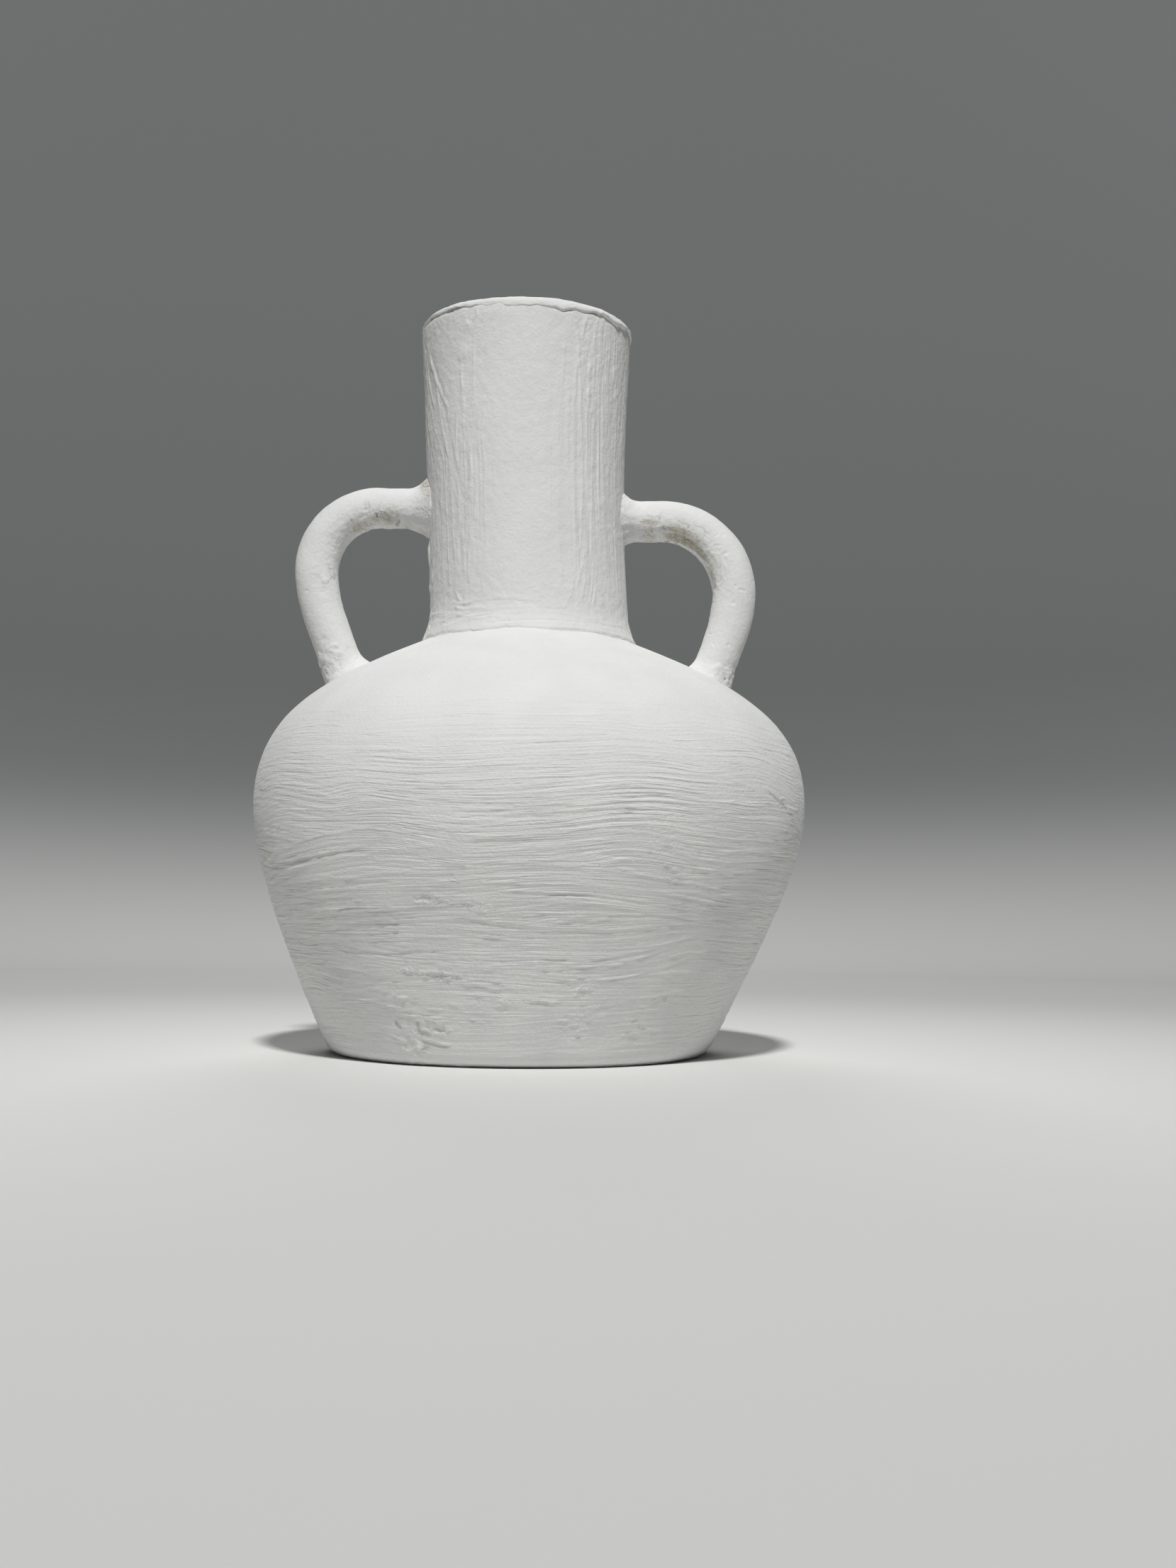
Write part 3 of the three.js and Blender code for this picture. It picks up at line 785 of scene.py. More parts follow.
def mark_belly(face):
    """Lumps, folds, grooves and pits in the coat, with painted shade in the grooves and fold troughs
    """
    grooves = [
        # points, width, proud, painted shade
        ([(-66, 101.5), (-53, 103.5), (-39, 107), (-27, 111)], 1.8, -0.35, 0.25),
        ([(-66, 103), (-53, 105), (-39, 108.6), (-27, 112.5)], 2.2, 0.28, 0.0),
        ([(-62, 87), (-40, 91), (-22, 95)], 1.6, -0.22, 0.10),
        ([(-48, 61), (-38, 57.5), (-29, 57), (-12, 60)], 1.8, -0.25, 0.12),
        ([(-7, 127), (2, 129.3), (12, 131)], 1.5, -0.32, 0.22),
        ([(-5, 123.8), (8, 127), (16, 128.5)], 1.4, -0.24, 0.14),
        ([(18, 135.5), (24, 136.8), (30, 136.6)], 1.5, -0.28, 0.18),
        ([(-9, 112), (3, 115)], 1.5, -0.28, 0.18),
        ([(4, 86), (10, 88), (16, 87)], 1.5, -0.30, 0.22),
        ([(8, 54), (16, 52), (24, 54), (33, 59.5)], 2.0, 0.35, 0.0),
        ([(6, 55.5), (12, 54.5)], 1.5, -0.30, 0.20),
        ([(19, 158.5), (25, 155.5), (31, 151.5)], 2.6, 0.22, 0.0),
        ([(52, 146), (58, 141), (62, 137)], 1.6, 0.40, 0.0),
        ([(54, 143), (59, 139), (63, 135)], 1.4, -0.40, 0.30),
        ([(62, 100), (66, 92), (67, 87)], 2.0, 0.22, 0.0),
        ([(-15.3, 35), (-12, 30), (-8.5, 24)], 1.8, 0.30, 0.0),
        ([(-24, 15.5), (-20, 13), (-16, 12)], 1.7, 0.55, 0.0),
        ([(-24, 14.3), (-20, 11.8), (-16, 10.8)], 1.3, -0.40, 0.35),
        ([(-29.5, 37.5), (-27.5, 34), (-26, 36.5)], 1.5, 0.50, 0.0),
        ([(-29.9, 24), (-28.6, 19)], 1.7, 0.45, 0.0),
        ([(-31, 24), (-29.6, 19)], 1.6, -0.65, 0.60),
        ([(-24.4, 24), (-24.6, 19), (-23, 16.5)], 1.8, -0.70, 0.60),
        ([(-23.2, 24.5), (-22.9, 20), (-21.6, 17.5)], 1.8, 0.50, 0.0),
        ([(-22.5, 26), (-19.5, 23.5), (-17.5, 21)], 1.5, 0.45, 0.0),
        ([(-19.5, 21), (-17.7, 18.7)], 1.6, -0.50, 0.45),
        ([(-28, 27.5), (-25.5, 25.5), (-24.5, 27)], 1.4, 0.40, 0.0),
        ([(-21, 31), (-18.5, 29), (-17, 30)], 1.4, 0.35, 0.0),
        ([(-27, 12.5), (-25.5, 9.5), (-23, 8.5)], 1.5, 0.45, 0.0),
        ([(-33, 17), (-31, 13.5), (-28.5, 12.5)], 1.5, 0.40, 0.0),
        ([(4, 36), (8, 34.5), (12, 35.5)], 1.8, 0.30, 0.0),
        ([(36, 96), (36.5, 104), (35.5, 114), (36, 122)], 1.5, -0.22, 0.10),
    ]
    for number, (points, width, proud, hollow) in enumerate(grooves):
        run_line(face, points, width, proud, 900 + 5 * number, hollow)
    folds = [
        # angle, height, width, rise, proud
        (-12, 95.8, 7, 5, 0.60),
        (-16.6, 84.8, 20, 6, 0.52),
        (-7, 81, 16, 9, 0.44),
        (-23, 49.4, 12, 7, 0.70),
        (-16.2, 46.8, 22, 7, 0.55),
        (60, 139, 16, 8, 0.45),
        (-27, 10, 18, 10, 0.45),
        (6, 34.6, 16, 4, 0.30),
        (15.6, 39.7, 12, 5, 0.36),
        (39, 34.6, 14, 6, 0.30),
        (34, 19, 26, 14, 0.22),
        (-50, 52, 6, 4, 0.35),
        (28, 118, 20, 26, 0.16),
        (31, 100, 14, 14, 0.22),
        (-20, 20, 26, 12, 0.25),
        (130, 60, 24, 10, 0.4),
        (-120, 95, 20, 8, 0.35),
        (170, 110, 24, 9, 0.35),
        (-160, 40, 26, 12, 0.4),
        (100, 30, 22, 10, 0.35),
    ]
    for number, fold in enumerate(folds):
        crumple(face, *fold, 1200 + 7 * number, hollow=0.25)
    raise_lump(face, -2.1, 34.1, 6.5, 6, 0.55, 3)
    raise_lump(face, 0.8, 33.4, 6, 4, 0.30, 4)
    raise_lump(face, 22, 30, 5, 5, -0.30, 5)


# The neck, from its spread foot to inside the lip
def neck_face(turns):
    line = neck_line()
    low, high = np.searchsorted(line[:, 1], (NECK_FINE_BELOW, NECK_FINE_ABOVE))
    line = join(
        respace(line[:low + 1], NECK_FOOT_ROW), respace(line[low:high + 1], NECK_ROW),
        respace(line[high:], NECK_TOP_ROW))
    return Face(line[:, 0], line[:, 1], turns)


def coat_neck(face):
    rng = np.random.default_rng(57)
    clay = 0.22 * face.field(60, 70, 11) + 0.12 * face.field(26, 30, 12)
    pebbles = 0.09 * face.field(3.6, 3.2, 15) + 0.12 * face.field(2.6, 2.6, 13)
    pebbles = pebbles + 0.06 * face.field(1.8, 2.2, 14)
    strokes = [
        # angle, height, length, width, tilt, sag, depth
        (-80, 320, 150, 16, 93, 1, 0.13),
        (-62, 300, 120, 16, 94, 1, 0.15),
        (-48, 300, 110, 14, 92, 2, 0.18),
        (-36, 306, 110, 12, 90, 0, 0.22),
        (-26, 312, 100, 11, 89, 0, 0.14),
        (-74, 370, 90, 14, 102, 1, 0.17),
        (-60, 374, 86, 14, 110, 2, 0.20),
        (-45, 345, 80, 10, 104, 1, 0.17),
        (-30, 372, 66, 12, 92, 1, 0.12),
        (17, 318, 120, 10, 90, 1, 0.10),
        (26, 330, 140, 12, 90, 1, 0.19),
        (36, 325, 160, 13, 90, 1, 0.25),
        (46, 330, 160, 13, 90, 0, 0.25),
        (58, 335, 160, 15, 90, 0, 0.21),
        (72, 330, 160, 16, 90, 1, 0.20),
        (86, 330, 160, 16, 90, 1, 0.18),
        (50, 385, 60, 14, 88, 0, 0.22),
        (37, 385, 60, 12, 84, 2, 0.22),
        (66, 392, 44, 12, 92, 0, 0.18),
        (36, 262, 44, 10, 80, -3, 0.20),
        (26, 256, 36, 10, 68, -3, 0.16),
        (50, 266, 60, 12, 92, 1, 0.18),
        (-20, 246, 64, 9, 3, 2, 0.28),
        (-34, 241, 54, 8, 5, 2, 0.28),
        (-60, 243, 44, 10, -6, 1, 0.20),
        (18, 243, 60, 7, -2, 2, 0.12),
        (55, 240, 50, 8, 4, -1, 0.12),
        (5, 238, 74, 6, 1, 0, 0.12),
    ]
    for angle in np.arange(92.0, 270.0, 11.0):
        strokes.append((
            angle, rng.uniform(290, 350), rng.uniform(80, 150), rng.uniform(10, 18),
            90 + rng.normal(0, 5), rng.normal(0, 1), rng.uniform(0.14, 0.24)))
    for angle in np.arange(85.0, 280.0, 24.0):
        strokes.append((
            angle, rng.uniform(238, 246), rng.uniform(40, 70), rng.uniform(6, 9),
            rng.normal(0, 4), rng.normal(0, 1), rng.uniform(0.12, 0.20)))
    for number, stroke in enumerate(strokes):
        drag_brush(
            face, *stroke, 300 + 8 * number, pitch=2.5, cover=0.6, fine=0.45, flowing=False)
    from_front = np.abs(np.degrees(face.turns) - 2.0)[None, :]
    left = hill(np.degrees(face.turns), -90, 50)[None, :]
    low = (ease(236.0, 256.0, face.height) * (1 - ease(300.0, 350.0, face.height)))[:, None]
    face.relief += clay + pebbles * (0.75 + 0.2 * ease(12.0, 30.0, from_front)) - 1.2 * left * low
    mark_neck(face)
    quiet_seams(face)
    trim_neck_foot(face)


def mark_neck(face):
    ridges = [
        # points, width, proud, painted shade
        ([(-66, 399), (-60, 387), (-53, 373), (-46, 362)], 1.8, 0.42, 0.0),
        ([(-64, 399), (-58, 387), (-51, 373), (-44, 362)], 1.4, -0.25, 0.12),
        ([(-72, 392), (-66, 378), (-59, 364)], 1.8, 0.30, 0.0),
        ([(-76, 372), (-70, 358), (-66, 348)], 1.8, 0.32, 0.0),
        ([(-52, 352), (-49, 342), (-47, 334)], 1.8, 0.28, 0.0),
        ([(-35.2, 384), (-35.6, 377), (-34.5, 370)], 1.6, 0.32, 0.0),
        ([(-34.5, 366), (-34.0, 358)], 1.8, 0.30, 0.0),
        ([(-29.9, 340), (-29.9, 322), (-30.4, 305)], 1.5, 0.30, 0.0),
        ([(-27.6, 322), (-27.6, 308), (-28.2, 296)], 1.3, 0.24, 0.0),
        ([(-40, 326), (-39, 308), (-38.5, 292)], 1.6, 0.30, 0.0),
        ([(-37, 292), (-36.5, 280), (-35, 266)], 1.4, 0.22, 0.0),
        ([(26, 372), (25.5, 352), (26, 330)], 1.5, 0.22, 0.0),
        ([(31, 400), (32.5, 380), (34, 358), (34, 330)], 1.6, 0.30, 0.0),
        ([(38, 396), (38.5, 370), (38, 345), (38.5, 316)], 1.6, 0.32, 0.0),
        ([(42.5, 360), (42.5, 330), (42, 300)], 1.5, 0.30, 0.0),
        ([(35, 345), (35, 318), (34, 290), (32, 272)], 1.5, 0.26, 0.0),
        ([(47, 350), (47, 322), (46.5, 300)], 1.4, 0.24, 0.0),
        ([(59.2, 391), (59.4, 381)], 2.0, 0.50, 0.0),
        ([(36, 280), (33, 268), (29, 258)], 1.6, 0.30, 0.0),
        ([(-42, 258), (-40.6, 253.5), (-37.5, 251)], 1.5, 0.42, 0.0),
        ([(-44, 249), (-36, 246.5), (-24, 247)], 1.5, 0.34, 0.0),
        ([(-46, 252), (-38, 249.5), (-30, 250)], 1.4, 0.30, 0.0),
        ([(-42, 244), (-32, 242), (-18, 243)], 1.4, 0.34, 0.0),
        ([(-86, 283), (-85, 272), (-82, 262)], 1.6, 0.45, 0.0),
        ([(-72, 275), (-71, 266)], 1.6, 0.40, 0.0),
        # cracks under the lip, darkened with painted shade
        ([(-47, 417.0), (-43, 416.4), (-40, 416.8)], 1.7, -0.5, 0.4),
        ([(17, 415.2), (22, 414.4), (27, 415.2)], 2.0, -0.5, 0.4),
        ([(31, 415.4), (38, 415.8), (45, 416.4)], 2.0, -0.5, 0.4),
        ([(50, 416.2), (56, 416.3), (63, 417.2)], 2.2, -0.6, 0.4),
    ]
    for number, (points, width, proud, hollow) in enumerate(ridges):
        run_line(face, points, width, NECK_PRESS * proud, 1500 + 5 * number, hollow, wander=0.4)
    folds = [
        # angle, height, width, rise, proud, cell, upright
        (34, 393, 16, 36, 0.28, 2.2, 3.0),
        (39, 372, 12, 30, 0.20, 2.0, 3.4),
        (-28, 409, 9, 12, 0.50, 3.0, 1.2),
        (-57, 409, 8, 8, 0.40, 2.6, 1.6),
        (-51.4, 242, 8, 7, 0.55, 3.2, 0.8),
        (-29.5, 240.6, 6, 4, 0.40, 2.6, 0.8),
        (-72, 244, 14, 10, 0.60, 3.6, 0.6),
        (150, 300, 12, 30, 0.30, 3.0, 1.9),
        (-140, 360, 12, 24, 0.30, 3.0, 1.9),
    ]
    for number, (angle, height, width, rise, proud, cell, upright) in enumerate(folds):
        seed = 1700 + 7 * number
        crumple(face, angle, height, width, rise, proud, seed, cell, upright, hollow=0.15, torn=0.7)
    raise_lump(face, -33.4, 390, 8, 8, 0.55, 6)
    raise_lump(face, -35.5, 386, 6, 5, -0.18, 7)
    raise_lump(face, 48.8, 308.5, 4, 6, 0.55, 8)
    raise_lump(face, 46.7, 252.5, 3.4, 5, 0.55, 9)
    raise_lump(face, -84.0, 288.0, 4.2, 12, 1.30, 10)
    raise_lump(face, -12, 340, 30, 40, 0.25, 11)


def trim_neck_foot(face):
    """The neck's clay laps the shoulder with a thin ragged edge, which turns under at the joint"""
    ragged = 1.3 * face.ragged(10, 21) + 0.9 * face.ragged(3.4, 22)
    ragged = ragged * (1 - 0.5 * ease(-0.3, 0.2, face.turns) * (1 - ease(1.4, 2.0, face.turns)))
    up = face.up[:, None]
    edge = 1.2 + ragged[None, :]
    under = 1 - ease(edge - 0.8, edge + 1.0, up)
    face.relief = face.relief * ease(0.0, 3.0, up) - 0.95 * under
    lap = face.up[-1]
    face.relief *= (1 - ease(lap - 4, lap - 1, face.up))[:, None]


# The rolled lip
LIP_EDGE = [
    # angle, height of the lip's lower edge
    (-180, 415.6), (-110, 416.0), (-75, 417.6), (-58, 417.8), (-38, 417.4), (-24, 416.2),
    (-8, 414.3), (8, 414.7), (17, 415.4), (21, 414.0), (26, 415.4), (34, 415.6), (43, 416.6),
    (52, 416.0), (60, 414.9), (68, 415.4), (74, 417.6), (88, 417.0),
    (120, 415.2), (180, 415.6),
]
LIP_THICKNESS = [
    # angle, how far the lip's lower edge stands out from its mean
    (-180, 0.0), (-100, -0.2), (-60, -0.45), (-40, -0.1), (-25, 0.0), (-12, -0.35), (0, -0.2),
    (15, 0.1), (22, 0.6), (30, 0.3), (42, 0.5), (60, 1.0), (67, 1.1), (75, 0.3), (120, 0.0),
    (180, 0.0),
]


def read_round(table, turns):
    """A table of angles and values, read at other angles round the vase"""
    return np.interp(np.degrees(turns), *np.array(table, float).T)


def lip_face(turns):
    """The lip's section from its underside, out, over the crown and down the bore"""
    outer, inner = NECK_TOP_RADIUS + 0.7, NECK_TOP_RADIUS - WALL - 1.0
    crown = VASE_HEIGHT - 0.4
    edge = NECK_TOP_Z + LIP_RISE
    line = join(
        np.array([(NECK_TOP_RADIUS - 3.0, edge + 1.0), (NECK_TOP_RADIUS - 0.6, edge + 0.2)]),
        cubic(
            (NECK_TOP_RADIUS - 0.6, edge + 0.2), (NECK_TOP_RADIUS + 0.3, edge - 0.1),
            (outer, edge + 0.2), (outer, edge + 1.0), 20),
        cubic(
            (outer, edge + 1.0), (outer, crown - 2.2), (outer - 1.0, crown),
            (outer - 4.0, crown), 30),
        cubic(
            (outer - 4.0, crown), (inner + 2.6, crown + 0.1), (inner + 0.4, crown - 0.8),
            (inner, crown - 3.4), 20),
        np.array([(inner, crown - 3.4), (inner + 0.8, NECK_TOP_Z - 1.0)]),
    )
    line = respace(line, LIP_ROW)
    return Face(line[:, 0], line[:, 1], turns)


def roll_lip(face):
    """Shifts the lower edge up and down raggedly, then roughens the coil"""
    ragged = 0.75 * face.ragged(11, 31) + 0.60 * face.ragged(4.5, 32) + 0.35 * face.ragged(2.0, 33)
    ragged = ragged * (0.65 + 0.45 * ease(0.0, 0.4, face.turns))
    shift = read_round(LIP_EDGE, face.turns) + ragged - (NECK_TOP_Z + LIP_RISE)
    on_edge = (1 - ease(2.5, 8.5, face.up))[:, None]
    rings = dressed_lip(face)
    rings[:, :, 2] += on_edge * shift[None, :]
    waver = 0.45 * face.ragged(70, 34) + 0.25 * face.ragged(24, 35)
    tilt = -0.35 * np.sin(face.turns)
    crown_share = ease(412.0, 420.0, rings[:, :, 2])
    rings[:, :, 2] += crown_share * (waver + tilt - 0.1)[None, :]
    np.clip(rings[:, :, 2], None, VASE_HEIGHT - 0.03, out=rings[:, :, 2])
    return rings


def dressed_lip(face):
    """The coil's unevenness, its thickness along the lower edge, and painted shade in the cracks
    beneath it
    """
    on_coil = ease(2.0, 4.0, face.up) * (1 - ease(face.up[-1] - 6, face.up[-1] - 1, face.up))
    body = 0.26 * face.field(18, 9, 36) + 0.18 * face.field(7, 3, 37)
    body = body + 0.10 * face.field(2.4, 1.4, 38)
    proud = read_round(LIP_THICKNESS, face.turns) + 0.35 * face.ragged(5, 39)
    at_edge = ease(1.6, 3.2, face.up) * (1 - ease(3.5, 7.5, face.up))
    face.relief = (body - 0.1) * on_coil[:, None] + at_edge[:, None] * proud[None, :]
    # painted shade in broken patches along the underside of the lip's edge
    lip_crack_shade = ease(0.05, 0.45, face.ragged(9, 40)) * ease(-0.5, 0.3, face.ragged(2, 41))
    under_edge = 1 - ease(2.6, 3.4, face.up)
    face.paint["hollow"] = 0.75 * under_edge[:, None] * lip_crack_shade[None, :]
    return dressed_rings(face)


# The handles
class Handle:
    """The centre line of a coil of clay from the neck to the shoulder, in the plane y = 0"""

    def __init__(self, name, side, rise, turn, foot_reach, upper_flare, lower_flare, marks):
        self.name, self.side, self.marks = name, side, marks
        self.upper_flare, self.lower_flare = upper_flare, lower_flare
        root_z = NECK_SEAT_Z + rise
        neck_x = centre_x(root_z)
        self.root = np.array([neck_x + side * neck_radius(root_z), root_z])
        foot_x = neck_x + side * foot_reach
        foot_z = NECK_SEAT_Z
        for _ in range(20):
            foot_z = shoulder_z(abs(foot_x - centre_x(foot_z)))
        self.foot = np.array([foot_x, foot_z])
        self.up_leg = np.array([side * math.sin(HANDLE_FOOT_LEAN), math.cos(HANDLE_FOOT_LEAN)])
        self.out = np.array([side, 0.0])
        reach = neck_x + side * HANDLE_REACH
        level_end = np.array([reach - side * turn, root_z])
        bend_end = np.array([reach, root_z - turn])
        quarter = QUARTER_ARM * turn
        leg_arm = (bend_end[1] - foot_z) / 3
        line = join(
            np.array([self.root - BURIED * self.out, level_end]),
            cubic(
                level_end, level_end + quarter * self.out,
                bend_end + np.array([0.0, quarter]), bend_end),
            cubic(
                bend_end, bend_end - np.array([0.0, leg_arm]),
                self.foot + leg_arm * self.up_leg, self.foot),
            np.array([self.foot, self.foot - BURIED * self.up_leg]),
        )
        self.line = respace(line, 0.5)
        self.run = run_of(self.line) - BURIED
        self.length = self.run[-1] - BURIED

    def at(self, run):
        """Centre and outward side of the coil at distances along it"""
        way = read_pairs(np.gradient(self.line, axis=0), self.run, run)
        way /= np.linalg.norm(way, axis=1)[:, None]
        outward = np.stack([-way[:, 1], way[:, 0]], 1) * self.side
        return read_pairs(self.line, self.run, run), outward


def vessel_radius(z):
    """The outside of the shoulder and of the foot of the neck"""
    ledge = (NECK_FOOT_RADIUS + SEAT_LEDGE, NECK_SEAT_Z)
    line = join(shoulder_line(), np.array([ledge, (NECK_FOOT_RADIUS, NECK_WALL_Z)]))
    return np.interp(z, line[:, 1], line[:, 0])


def fourfold(around, outer, front, inner, back):
    """A value that eases from one side of the coil to the next"""
    c, s = np.cos(around), np.sin(around)
    return (
        outer * np.maximum(c, 0) ** 2 + inner * np.maximum(-c, 0) ** 2
        + front * np.maximum(s, 0) ** 2 + back * np.maximum(-s, 0) ** 2
    )


def shaping_tree(name, inputs):
    """A tree that makes a shape from its named inputs: its bench, and the inputs by name"""
    tree = bpy.data.node_groups.new(name, "GeometryNodeTree")
    for title, kind in inputs.items():
        tree.interface.new_socket(title, in_out="INPUT", socket_type=f"NodeSocket{kind}")
    tree.interface.new_socket("Shape", in_out="OUTPUT", socket_type="NodeSocketGeometry")
    bench = Bench(tree)
    given = tree.nodes.new("NodeGroupInput")
    return bench, {socket.name: Dial(bench, socket) for socket in given.outputs if socket.name}


def end_tree(bench, shape, finish):
    """Makes instances real, gives the shape its finish and hands it out"""
    shape = bench.node("GeometryNodeRealizeInstances", None, {"Geometry": shape})
    shape = bench.node("GeometryNodeSetMaterial", None, {"Geometry": shape, "Material": finish})
    out = bench.tree.nodes.new("NodeGroupOutput")
    bench.tree.links.new(shape.socket, out.inputs[0])
    return bench.tree


def coil_tree(finish):
    """A round coil rolled along a curve, thickest half way, with its share of the way stored"""
    bench, value = shaping_tree("rolled_coil", {
        "Path": "Geometry", "Rings": "Int", "Sides": "Int",
        "Run radius": "Float", "Bend radius": "Float"})
    path = bench.node(
        "GeometryNodeResampleCurve", None, {"Curve": value["Path"], "Count": value["Rings"]})
    share = bench.node("GeometryNodeSplineParameter", output="Factor")
    swell = bench.node("ShaderNodeMath", {"operation": "SINE"}, {0: share * math.pi}) ** 2.0
    radius = value["Run radius"] + (value["Bend radius"] - value["Run radius"]) * swell
    path = bench.node(
        "GeometryNodeStoreNamedAttribute", {"data_type": "FLOAT", "domain": "POINT"},
        {"Geometry": path, "Name": "share", "Value": share})
    ring = bench.node(
        "GeometryNodeCurvePrimitiveCircle", {"mode": "RADIUS"},
        {"Resolution": value["Sides"], "Radius": 1.0})
    coil = bench.node(
        "GeometryNodeCurveToMesh", None,
        {"Curve": path, "Profile Curve": ring, "Scale": radius, "Fill Caps": True})
    return end_tree(bench, coil, finish)


def nodes_to_mesh(name, data, tree, inputs):
    """Runs a tree on a scratch object and gives the plain mesh that it makes"""
    scratch = put_in_scene(name, data)
    modifier = scratch.modifiers.new(name, "NODES")
    modifier.node_group = tree
    for socket in tree.interface.items_tree:
        if socket.in_out == "INPUT" and socket.name in inputs:
            modifier[socket.identifier] = inputs[socket.name]
    evaluated = scratch.evaluated_get(bpy.context.evaluated_depsgraph_get())
    mesh = bpy.data.meshes.new_from_object(evaluated)
    scratch.modifiers.remove(modifier)
    bpy.data.objects.remove(scratch)
    return mesh


def roll_coil(handle, tree):
    """The plain round coil as a mesh, rolled by the tree along the handle's line"""
    curve = bpy.data.curves.new(handle.name + "_line", "CURVE")
    curve.dimensions = "3D"
    spline = curve.splines.new("POLY")
    spline.points.add(len(handle.line) - 1)
    for point, (x, z) in zip(spline.points, handle.line):
        point.co = (x * MM, 0.0, z * MM, 1.0)
    return nodes_to_mesh(handle.name + "_coil", curve, tree, {
        "Rings": COIL_RINGS, "Sides": COIL_SIDES,
        "Run radius": HANDLE_RADIUS * MM, "Bend radius": HANDLE_BEND_RADIUS * MM})


def lute_to_neck(handle, points):
    """How far each point of the upper root has to shift outwards to lie on the neck"""
    y, z = points[:, 1], points[:, 2]
    radius = neck_radius(z)
    face_x = centre_x(z) + handle.side * np.sqrt(np.maximum(radius**2 - y**2, 0.0))
    return (face_x - handle.root[0]) * handle.side


def lute_to_shoulder(handle, points, run_left):
    """How far each point of the lower root has to shift up the leg to lie on the shoulder"""
    way = np.array([handle.up_leg[0], 0.0, handle.up_leg[1]])
    base = points - run_left[:, None] * way
    low, high = np.full(len(points), -40.0), np.full(len(points), 40.0)
    for _ in range(26):
        middle = (low + high) / 2
        spot = base + middle[:, None] * way
        x, y, z = spot.T
        outside = np.hypot(x - centre_x(z), y) > vessel_radius(z)
        high = np.where(outside, middle, high)
        low = np.where(outside, low, middle)
    return (low + high) / 2


